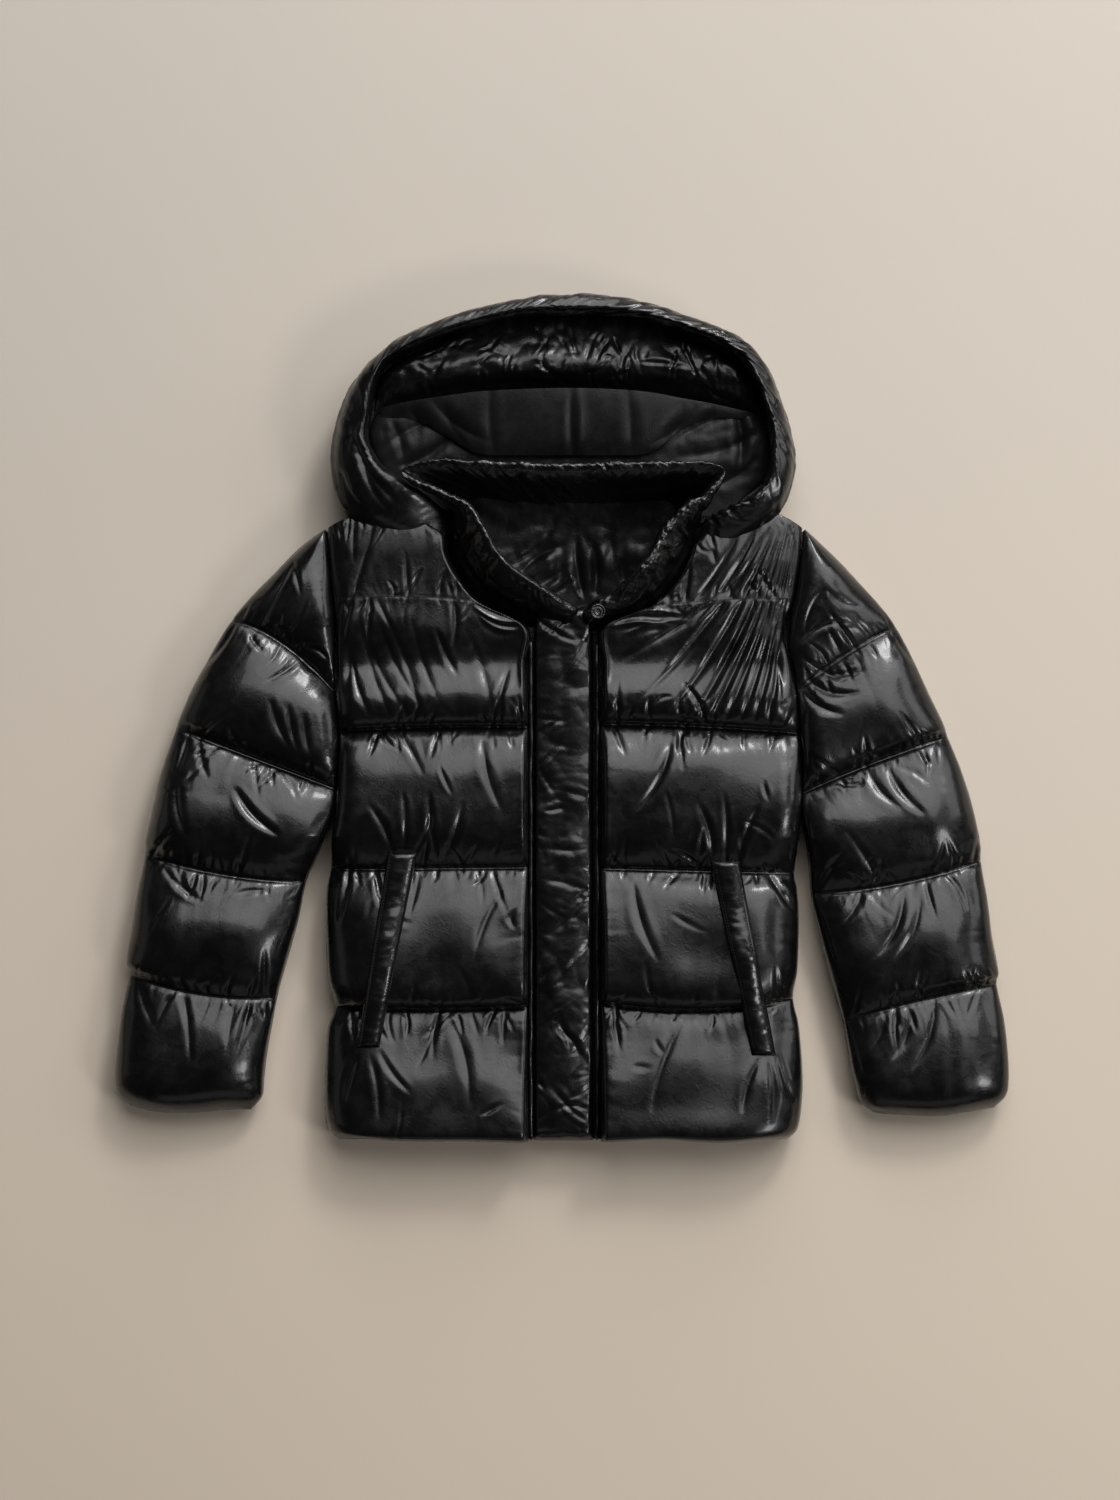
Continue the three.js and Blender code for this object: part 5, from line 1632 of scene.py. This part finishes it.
@dataclass
class PocketWelt:
    """A slim padded strip along the slanted pocket opening.

    Attributes:
        name: The piece's name.
        node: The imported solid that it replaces.
        panel: The front that it lies on.
        top: Its upper end in plan, in millimetres.
        low: Its lower end in plan.
        top_wide: Its width at the upper end.
        low_wide: Its width at the lower end.
        grid: The built surface, in metres.
    """

    name: str
    node: str
    panel: QuiltedPanel
    top: tuple[float, float]
    low: tuple[float, float]
    top_wide: float
    low_wide: float
    grid: Array = field(init=False, repr=False)

    _THICK = 8.0
    _LIFT = 0.6
    _BRIDGE = 0.4
    _EDGE = 0.2
    _DEPTH = 0.016
    # Points along it; those of them between which it bridges the front; the smoothing's reach
    _COUNT = 110
    _BEARING = (24, 50, 80, 109)
    _SMOOTHING = 9.0

    def build(self) -> Array:
        """Lays the strip on its front: the panel's height, bridged over seams, plus a crown.

        Returns:
            The (rows, columns, 3) grid in metres.
        """
        down = np.linspace(0, 1, self._COUNT)[:, None]
        across = np.linspace(0, 1, 22)[None]
        middle = [a + (b - a) * down for a, b in zip(self.top, self.low)]
        wide = self.top_wide + (self.low_wide - self.top_wide) * down
        x = middle[0] + (across - 0.5) * wide
        y = middle[1] + 0 * x
        found, place = self.panel.find(x.ravel(), y.ravel())
        z = self.panel.point(found, place, self._BRIDGE)[:, 2].reshape(x.shape)
        line = z.mean(axis=1)
        number = np.arange(self._COUNT)
        bearing = np.array(self._BEARING)
        heights = np.concatenate([[line[bearing[0]] + 3], line[bearing]])
        bridged = np.interp(number, np.concatenate([[0], bearing]), heights)
        z = bridged[:, None] + 0.5 * (z - line[:, None])
        reach = np.exp(-((number[:, None] - number[None]) / self._SMOOTHING) ** 2)
        z = (reach / reach.sum(axis=1, keepdims=True)) @ z
        side = rounded(np.minimum(across, 1 - across), 0.5)
        end = rounded(np.minimum(down, 1 - down), 0.03)
        noise = Noise(71)
        crown = self._EDGE + (1 - self._EDGE) * side * end
        ripple = 1.1 * noise.billow(y / 15, x / 30) + 0.6 * noise.billow(y / 6, x / 20)
        z = z + self._LIFT + self._THICK * crown + ripple * side
        self.grid = np.stack([x, y, z], axis=2) * MM
        return self.grid

    def dress(self, material: bpy.types.Material) -> bpy.types.Object:
        """Finishes the welt, with its sides turned down into the front.

        Args:
            material: Its finish.

        Returns:
            The piece.
        """
        rim = self.grid.copy()
        rim[..., 2] -= self._DEPTH
        obj = mesh_of(rimmed(self.grid, rim), self.name)
        place_piece(obj, material, [self.node])
        return obj


@dataclass
class Snap:
    """The snap's cap on the collar's corner: a rolled rim, a dished face and a small boss."""

    x: float = 35.0
    y: float = 106.0
    z: float = 73.6
    radius: float = 7.4

    def dress(self, material: bpy.types.Material) -> bpy.types.Object:
        """Turns the profile about the upright axis and finishes it.

        Args:
            material: Its finish.

        Returns:
            The piece.
        """
        r = self.radius
        profile = np.array(
            [
                (0.02, 0), (r - 0.8, 0), (r - 0.2, 0.3), (r, 0.9), (r, 2.2), (r - 0.25, 2.8),
                (r - 0.8, 3.1), (r - 1.4, 2.95), (r - 1.9, 2.3), (r - 2.5, 2.0), (4.4, 2.0), (4.1, 2.1),
                (3.9, 2.6), (3.5, 2.9), (2.9, 2.75), (2.4, 2.3), (1.6, 2.1), (0.02, 2.1),
            ]
        )
        rings = smooth_rows(profile, np.linspace(0, len(profile) - 1, 70))
        turn = np.linspace(0, 2 * math.pi, 65)[:-1]
        grid = np.stack(
            [
                self.x + rings[:, None, 0] * np.cos(turn),
                self.y + rings[:, None, 0] * np.sin(turn),
                self.z + rings[:, None, 1] + 0 * turn,
            ],
            axis=2,
        )
        obj = mesh_of(grid * MM, "snap_cap", around=True)
        place_piece(obj, material, ["snap_button"])
        return obj


@dataclass
class Stitching:
    """Rows of small thread stitches on the built surfaces.

    Attributes:
        name: The piece's name.
        lines: (m, 3) points in metres of each row.
        length: A stitch's length, in millimetres.
        pitch: Distance from one stitch to the next.
        radius: The thread's radius.
        lift: How far its middle lies above the surface.
    """

    name: str
    lines: list[Array]
    length: float = 2.5
    pitch: float = 3.4
    radius: float = 0.34
    lift: float = 0.25

    def dress(self, material: bpy.types.Material) -> bpy.types.Object:
        """Lays one capsule for each stitch along every line, all of them in one mesh.

        A capsule is a six-sided tube whose radius follows a half circle at both ends; each one is
        turned to its line's direction and moved to its place.

        Args:
            material: The thread's finish.

        Returns:
            The piece.
        """
        starts, ways = [], []
        for line in self.lines:
            run = run_of(line)
            at = np.arange(self.pitch, run[-1] / MM - self.pitch, self.pitch) * MM
            begun, ended = (
                np.stack([np.interp(at + ahead * MM, run, line[:, k]) for k in range(3)], axis=1)
                for ahead in (0.0, self.length)
            )
            starts.append(begun)
            ways.append(ended - begun)
        start, way = np.concatenate(starts), np.concatenate(ways)
        way_unit = way / np.linalg.norm(way, axis=1, keepdims=True)
        up = np.array([0.0, 0.0, 1.0])
        side = np.cross(way_unit, up)
        side /= np.linalg.norm(side, axis=1, keepdims=True)
        over = np.cross(side, way_unit)
        along = np.array([0.0, 0.06, 0.2, 0.5, 0.8, 0.94, 1.0])
        bulge = np.array([0.05, 0.6, 0.95, 1.0, 0.95, 0.6, 0.05]) * self.radius * MM
        turn = np.linspace(0, 2 * math.pi, 7)[:-1]
        rings = (
            start[:, None, None] + way[:, None, None] * along[None, :, None, None]
            + side[:, None, None] * (bulge[:, None] * np.cos(turn))[None, ..., None]
            + over[:, None, None] * (bulge[:, None] * np.sin(turn) + self.lift * MM)[None, ..., None]
        )
        patch = Patch()
        count, ring_count, around = rings.shape[:3]
        index = np.arange(count * ring_count * around).reshape(count, ring_count, around)
        index = np.concatenate([index, index[..., :1]], axis=2)
        corners = (index[:, :-1, :-1], index[:, :-1, 1:], index[:, 1:, 1:], index[:, 1:, :-1])
        patch.points.append(rings.reshape(-1, 3))
        patch.quads.append(np.stack(corners, axis=3).reshape(-1, 4))
        obj = patch.make(self.name)
        place_piece(obj, material, [])
        return obj


# Shaders


class Wire:
    """A shader value that takes part in sums, products and powers."""

    def __init__(self, graph: Graph, socket: bpy.types.NodeSocket) -> None:
        """Wraps an output socket of a graph's node."""
        self.graph, self.socket = graph, socket

    def _math(self, operation: str, other: Wire | float, swapped: bool = False) -> Wire:
        """Makes a maths node of this value and another, which comes first where they are swapped."""
        pair = [other, self] if swapped else [self, other]
        return self.graph.node("ShaderNodeMath", {0: pair[0], 1: pair[1]}, operation=operation)

    def __add__(self, other: Wire | float) -> Wire:
        """self + other, as a new value."""
        return self._math("ADD", other)

    def __radd__(self, other: float) -> Wire:
        """other + self, as a new value."""
        return self._math("ADD", other, True)

    def __sub__(self, other: Wire | float) -> Wire:
        """self - other, as a new value."""
        return self._math("SUBTRACT", other)

    def __rsub__(self, other: float) -> Wire:
        """other - self, as a new value."""
        return self._math("SUBTRACT", other, True)

    def __mul__(self, other: Wire | float) -> Wire:
        """self * other, as a new value."""
        return self._math("MULTIPLY", other)

    def __rmul__(self, other: float) -> Wire:
        """other * self, as a new value."""
        return self._math("MULTIPLY", other, True)

    def __truediv__(self, other: Wire | float) -> Wire:
        """self / other, as a new value."""
        return self._math("DIVIDE", other)

    def __pow__(self, other: float) -> Wire:
        """self ** other, as a new value."""
        return self._math("POWER", other)

    def size(self) -> Wire:
        """The value without its sign."""
        return self.graph.node("ShaderNodeMath", {0: self}, operation="ABSOLUTE")

    def between(self, low: float, high: float) -> Wire:
        """The smooth share of the way from low to high."""
        inputs = {"Value": self, "From Min": low, "From Max": high}
        return self.graph.node("ShaderNodeMapRange", inputs, interpolation_type="SMOOTHSTEP")


class Graph:
    """The node tree of one material."""

    def __init__(self, name: str) -> None:
        """Makes a material with an empty Principled surface.

        Args:
            name: The material's name.
        """
        self.material = bpy.data.materials.new(name)
        self.material.use_nodes = True
        self.tree = self.material.node_tree
        self.surface = self.tree.nodes["Principled BSDF"]

    def node(
        self,
        kind: str,
        inputs: dict[int | str, object] | None = None,
        output: int | str = 0,
        **settings: object,
    ) -> Wire:
        """Makes any node.

        Args:
            kind: Its Blender class.
            inputs: Socket number or name to a wire or a plain value.
            output: The socket that the returned wire stands for.
            **settings: The node's own properties.

        Returns:
            A wire from that output.
        """
        made = self.tree.nodes.new(kind)
        for key, value in settings.items():
            setattr(made, key, value)
        for key, value in (inputs or {}).items():
            self.feed(made.inputs[key], value)
        return Wire(self, made.outputs[output])

    def feed(self, socket: bpy.types.NodeSocket, value: object) -> None:
        """Links a wire to a socket, or sets its plain value.

        Args:
            socket: The input.
            value: A wire or a plain value.
        """
        if isinstance(value, Wire):
            self.tree.links.new(value.socket, socket)
        else:
            socket.default_value = value

    def noise(
        self, scale: float, detail: float = 2.0, distortion: float = 0.0, stretch: Triple = (1, 1, 1)
    ) -> Wire:
        """Noise on the piece's own coordinates.

        Args:
            scale: Bumps in a metre.
            detail: How many finer layers it has.
            distortion: How far it is warped.
            stretch: Factors along the axes.

        Returns:
            A value from 0 to 1.
        """
        where = self.node("ShaderNodeTexCoord", output="Object")
        placed = self.node("ShaderNodeMapping", {"Vector": where, "Scale": stretch})
        inputs = {"Vector": placed, "Scale": scale, "Detail": detail, "Distortion": distortion}
        return self.node("ShaderNodeTexNoise", inputs)

    def tint(self, share: Wire, low: Triple, high: Triple) -> Wire:
        """A colour between two, the first where the share is 0."""
        inputs = {"Factor": share, 6: (*low, 1), 7: (*high, 1)}
        return self.node("ShaderNodeMix", inputs, output=2, data_type="RGBA")

    def bump(
        self, height: Wire, distance: float, strength: float = 1.0, under: Wire | None = None
    ) -> Wire:
        """A bump normal.

        Args:
            height: The height, from 0 to 1.
            distance: Its scale in metres.
            strength: How much of it shows.
            under: A normal that it adds to.

        Returns:
            The normal.
        """
        inputs: dict[int | str, object] = {"Height": height, "Distance": distance, "Strength": strength}
        if under is not None:
            inputs["Normal"] = under
        return self.node("ShaderNodeBump", inputs)


@dataclass(frozen=True)
class Nylon:
    """Calendered nylon: a sheen that is stronger where the cloth is smooth, and tiny creases.

    Attributes:
        name: The material's name.
        dark: Its darkest colour.
        light: Its lightest colour.
        smooth: Roughness where it is smoothest.
        rough: Roughness where it is roughest.
        specular: Strength of its reflection.
        crease: Height of its tiny creases, in metres.
        weave: Height of its weave, in metres.
        gloss: Strength of its clear coat.
    """

    name: str
    dark: Triple
    light: Triple
    smooth: float
    rough: float
    specular: float
    crease: float
    weave: float
    gloss: float = 0.0

    _COAT_ROUGHNESS = 0.13

    def make(self) -> bpy.types.Material:
        """Builds the nodes and the material.

        Returns:
            The new material.
        """
        graph = Graph(self.name)
        tone = graph.noise(22, 3).between(0.3, 0.7)
        patches = graph.noise(60, 4, 0.6).between(0.35, 0.68)
        sharp = (graph.noise(150, 2, 0.9) - 0.5).size()
        fine = (graph.noise(420, 2, 0.4, (1, 0.6, 1)) - 0.5).size()
        creased = graph.bump(sharp, self.crease)
        creased = graph.bump(fine, 0.35 * self.crease, under=creased)
        grain = graph.bump(graph.noise(2600, 1), self.weave, under=creased)
        surface = graph.surface.inputs
        graph.feed(surface["Base Color"], graph.tint(tone, self.dark, self.light))
        graph.feed(surface["Roughness"], self.smooth + (self.rough - self.smooth) * patches)
        graph.feed(surface["Normal"], grain)
        surface["Specular IOR Level"].default_value = self.specular
        surface["Coat Weight"].default_value = self.gloss
        surface["Coat Roughness"].default_value = self._COAT_ROUGHNESS
        return graph.material


@dataclass(frozen=True)
class SnapMetal:
    """Blackened metal with light wear on it."""

    name: str = "snap_metal"
    dark: Triple = (0.02, 0.02, 0.022)
    worn: Triple = (0.15, 0.15, 0.156)

    def make(self) -> bpy.types.Material:
        """Builds the nodes and the material.

        Returns:
            The new material.
        """
        graph = Graph(self.name)
        wear = graph.noise(900, 4).between(0.42, 0.66)
        surface = graph.surface.inputs
        graph.feed(surface["Base Color"], graph.tint(wear, self.dark, self.worn))
        graph.feed(surface["Roughness"], 0.22 + 0.2 * wear)
        graph.feed(surface["Normal"], graph.bump(graph.noise(1500, 2), 0.00004))
        surface["Metallic"].default_value = 1.0
        return graph.material


@dataclass(frozen=True)
class Tabletop:
    """The warm surface under the jacket, painted lighter and warmer towards -Y and darker towards +Y: a
    painted fall-off of light.
    """

    name: str = "tabletop"
    # Painted light: the colour at the -Y end, painted lighter and warmer, and at the +Y end, painted
    # darker.
    near: Triple = (0.615, 0.525, 0.427)
    far: Triple = (0.512, 0.462, 0.405)

    def make(self) -> bpy.types.Material:
        """Builds the nodes and the material.

        Returns:
            The new material.
        """
        graph = Graph(self.name)
        cloud = graph.noise(1.6, 2).between(0.25, 0.75)
        where = graph.node("ShaderNodeTexCoord", output="Object")
        # Share from -Y to +Y that mixes the base colour: a painted fall-off of light, with a tenth of
        # random cloud.
        painted_falloff = graph.node("ShaderNodeSeparateXYZ", {"Vector": where}, output="Y").between(-0.75, 0.7)
        surface = graph.surface.inputs
        graph.feed(surface["Base Color"], graph.tint(0.9 * painted_falloff + 0.1 * cloud, self.near, self.far))
        graph.feed(surface["Roughness"], 0.62 + 0.1 * graph.noise(40, 3))
        graph.feed(surface["Normal"], graph.bump(graph.noise(700, 3), 0.00006))
        surface["Specular IOR Level"].default_value = 0.2
        return graph.material


SHELL = Nylon(
    "shell_nylon", dark=(0.0018, 0.0018, 0.002), light=(0.0032, 0.0032, 0.0036),
    smooth=0.25, rough=0.36, specular=0.38, crease=0.0003, weave=0.00001, gloss=0.3,
)
LINING = Nylon(
    "lining_nylon", dark=(0.0035, 0.0035, 0.0038), light=(0.006, 0.006, 0.0066),
    smooth=0.4, rough=0.52, specular=0.3, crease=0.0003, weave=0.00002,
)
LINING_SHEEN = Nylon(
    "lining_sheen", dark=(0.002, 0.002, 0.0023), light=(0.004, 0.004, 0.0044),
    smooth=0.27, rough=0.38, specular=0.34, crease=0.0004, weave=0.00001, gloss=0.2,
)
THREAD = Nylon(
    "thread", dark=(0.003, 0.003, 0.0032), light=(0.008, 0.008, 0.0084),
    smooth=0.35, rough=0.5, specular=0.3, crease=0.0002, weave=0.00002,
)


# Light, floor and camera


@dataclass(frozen=True)
class Softbox:
    """One rectangular light that looks at the jacket's middle."""

    name: str
    place: Triple
    wide: float
    high: float
    radiance: float

    def build(self) -> None:
        """Makes the light; its power is radiance times area times pi."""
        data = bpy.data.lights.new(self.name, "AREA")
        data.shape = "RECTANGLE"
        data.size, data.size_y = self.wide, self.high
        data.energy = self.radiance * self.wide * self.high * math.pi
        light = bpy.data.objects.new(self.name, data)
        bpy.context.scene.collection.objects.link(light)
        light.location = self.place
        x, y, z = (-value for value in self.place)
        light.rotation_euler = (math.atan2(math.hypot(x, y), -z), 0, math.atan2(-x, y))
        light.visible_camera = False


@dataclass(frozen=True)
class Studio:
    """The table, the lights and the camera straight above.

    Attributes:
        lights: All lights.
        sky: Strength of the room's light.
        warm: Colour of the room's light.
        lens: Focal length in millimetres.
        height: How far the camera is above the jacket's middle, in metres.
        middle: Height of the jacket's middle.
        aim: Where the camera looks, in plan.
    """

    lights: tuple[Softbox, ...] = (
        Softbox("key", (1.1, 2.55, 3.8), 4.6, 3.8, 3.15),
        Softbox("window", (0.2, 4.0, 1.6), 3.6, 1.4, 3.2),
        Softbox("spark", (1.5, 3.3, 2.8), 0.9, 0.9, 26.0),
        Softbox("spark_right", (2.6, -1.3, 2.8), 0.9, 0.9, 13.0),
        Softbox("fill_low", (0.3, -3.2, 1.4), 3.2, 1.2, 0.25),
        Softbox("fill_right", (3.0, 1.2, 1.7), 2.4, 1.3, 2.4),
        Softbox("fill_left", (-3.2, 0.2, 0.9), 2.6, 1.0, 0.25),
    )
    sky: float = 0.02
    warm: Triple = (1.0, 0.93, 0.84)
    lens: float = 85.0
    height: float = 3.54
    middle: float = 0.035
    aim: tuple[float, float] = (-0.0025, -0.031)

    def build(self) -> None:
        """Makes the stage and looks down on it."""
        scene = bpy.context.scene
        bpy.ops.mesh.primitive_plane_add(size=8, location=(0, 0, 0))
        floor = bpy.context.object
        floor.name = "tabletop"
        floor.data.materials.append(Tabletop().make())
        for light in self.lights:
            light.build()
        world = bpy.data.worlds.new("room")
        world.use_nodes = True
        background = world.node_tree.nodes["Background"].inputs
        background["Color"].default_value = (*self.warm, 1)
        background["Strength"].default_value = self.sky
        scene.world = world
        scene.view_settings.view_transform = "Standard"
        data = bpy.data.cameras.new("camera")
        data.lens, data.sensor_width, data.clip_end = self.lens, 36.0, 50.0
        camera = bpy.data.objects.new("camera", data)
        scene.collection.objects.link(camera)
        camera.location = (*self.aim, self.height + self.middle)
        scene.camera = camera


def panels() -> list[QuiltedPanel]:
    """Lists the quilted pieces.

    Returns:
        Both fronts and the upper sleeves, each sleeve beside the front that it is sewn to.
    """
    right = QuiltedPanel(
        "front_right", "front_panel_right", RIGHT_FRONT, Side.OUTER, RIGHT_FRONT_FOLDS,
        seed=101, crumples=12, crests=CRESTS, hollow=9.0,
    )
    left = QuiltedPanel(
        "front_left", "front_panel_left", LEFT_FRONT, Side.OUTER, LEFT_FRONT_FOLDS,
        seed=202, crumples=12, crests=CRESTS, hollow=7.0,
    )
    right_sleeve = QuiltedPanel(
        "sleeve_upper_right", "sleeve_right_upper", RIGHT_SLEEVE, Side.INNER, RIGHT_SLEEVE_FOLDS,
        seed=303, crumples=10, beside=right,
    )
    left_sleeve = QuiltedPanel(
        "sleeve_upper_left", "sleeve_left_upper", LEFT_SLEEVE, Side.INNER, LEFT_SLEEVE_FOLDS,
        seed=404, crumples=10, beside=left,
    )
    return [right, left, right_sleeve, left_sleeve]


BACK_ROWS = 7


def back_places(panel: QuiltedPanel) -> tuple[Array, list[int]]:
    """Rows of the back layer below a quilted piece.

    Args:
        panel: The piece.

    Returns:
        The rows' places along its table, and which of them have a quilting seam.
    """
    last = len(panel.rows) - 1
    places = np.linspace(0, last, BACK_ROWS * last + 1)
    return places, [int(seam * BACK_ROWS) for seam in panel.seams[1:-1]]


def back_shells(quilted: Sequence[QuiltedPanel]) -> list[BackShell]:
    """Lists the back layer's pieces.

    Args:
        quilted: The fronts and the upper sleeves.

    Returns:
        The back of the body, the lower halves of the sleeves and the back of the hood.
    """
    right, left, *sleeves = quilted
    places, grooves = back_places(right)
    body = (right.edge(Side.OUTER, places), left.edge(Side.OUTER, places))
    for edge in body:
        edge[:, 1] = np.minimum(edge[:, 1], HOOD_SEAM_Y - 0.3)
    shells = [BackShell("back", "back_panel", *body, grooves)]
    for sleeve in sleeves:
        places, grooves = back_places(sleeve)
        edges = (sleeve.edge(Side.OUTER, places), sleeve.edge(Side.INNER, places))
        name, node = (word.replace("upper", "under") for word in (sleeve.name, sleeve.node))
        shells.append(BackShell(name, node, *edges, grooves))
    outline = smooth_rows(np.array(HOOD_EDGE)[:, 0:2], np.linspace(0, len(HOOD_EDGE) - 1, 301))
    top = int(np.argmax(outline[:, 1]))
    halves = []
    for half in (outline[: top + 1], outline[: top - 1 : -1]):
        y = np.linspace(HOOD_SEAM_Y - 9, outline[top, 1] - 0.05, 86)
        rising = np.maximum.accumulate(half[:, 1])
        x = np.interp(y, rising + np.arange(len(half)) * 1e-6, half[:, 0])
        halves.append(np.stack([x, y], axis=1))
    shells.append(BackShell("hood_rear", "hood_back", *halves))
    return shells


def main() -> None:
    """Builds and finishes every piece in turn."""
    logging.basicConfig(level=logging.INFO, format="%(message)s")
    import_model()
    shell, lining, sheen = SHELL.make(), LINING.make(), LINING_SHEEN.make()
    thread, metal = THREAD.make(), SnapMetal().make()

    quilted = panels()
    for panel in quilted:
        panel.build()
        panel.dress(shell, 0.75)
    for back in back_shells(quilted):
        back.dress(shell, 0.5)

    hood, collar = HoodEdge(), Collar()
    hood.build()
    hood.dress(shell)
    collar.build()
    collar.dress(shell)

    shallow = scattered_folds(31, (-150, 322, 160, 376), 90, 1.2, 0.9, 0.75)
    crinkles = tuple(fold._replace(depth=1.9 * fold.depth) for fold in shallow)
    upper = Lining(
        "hood_inner_baffle", "hood_lining_upper", HOOD_UPPER_ROWS, crinkles, seed=31, crumple=0.8, step=1.5
    )
    lower = Lining(
        "hood_inner_back", "hood_lining_lower", HOOD_LOWER_ROWS, HOOD_LOWER_FOLDS, seed=32, crumple=0.5
    )
    neck = Lining("neck_inner_back", "neck_lining", NECK_ROWS, NECK_FOLDS, seed=33, crumple=0.5)
    upper.build()
    upper.dress(sheen, True, ())
    lower.build()
    lower.dress(lining, False, ["hood_rear"])
    neck.build()
    neck.dress(sheen, False, ["back"])
    band = HoodBand(lower)
    band.build()
    band.dress(lining)

    placket = Placket()
    placket.build()
    placket.dress(shell)
    Piping("piping_right", "placket_piping_right", -31.6, 74, 61).dress(shell)
    Piping("piping_left", "placket_piping_left", 34.6, 72, 62).dress(shell)
    pockets = [
        PocketWelt("welt_right", "pocket_welt_right", quilted[0], (-159, -133), (-193, -326), 29, 22),
        PocketWelt("welt_left", "pocket_welt_left", quilted[1], (161, -141), (200, -334), 29, 24),
    ]
    for pocket in pockets:
        pocket.build()
        pocket.dress(shell)
    Snap().dress(metal)

    rows = [line for panel in quilted for line in panel.seam_lines()]
    Stitching("stitching_seams", rows).dress(thread)
    places = ((30, 0.02, 0.32), (24, 0.02, 0.32), (30, 0.42, 0.62))
    edges = [collar.stitch_line(*place) for place in places]
    welts = [pocket.grid[3:-3, column] for pocket in pockets for column in (3, -4)]
    Stitching("stitching_edges", edges + welts, length=2.1, pitch=3.0).dress(thread)

    Studio().build()


if __name__ == "__main__":
    main()
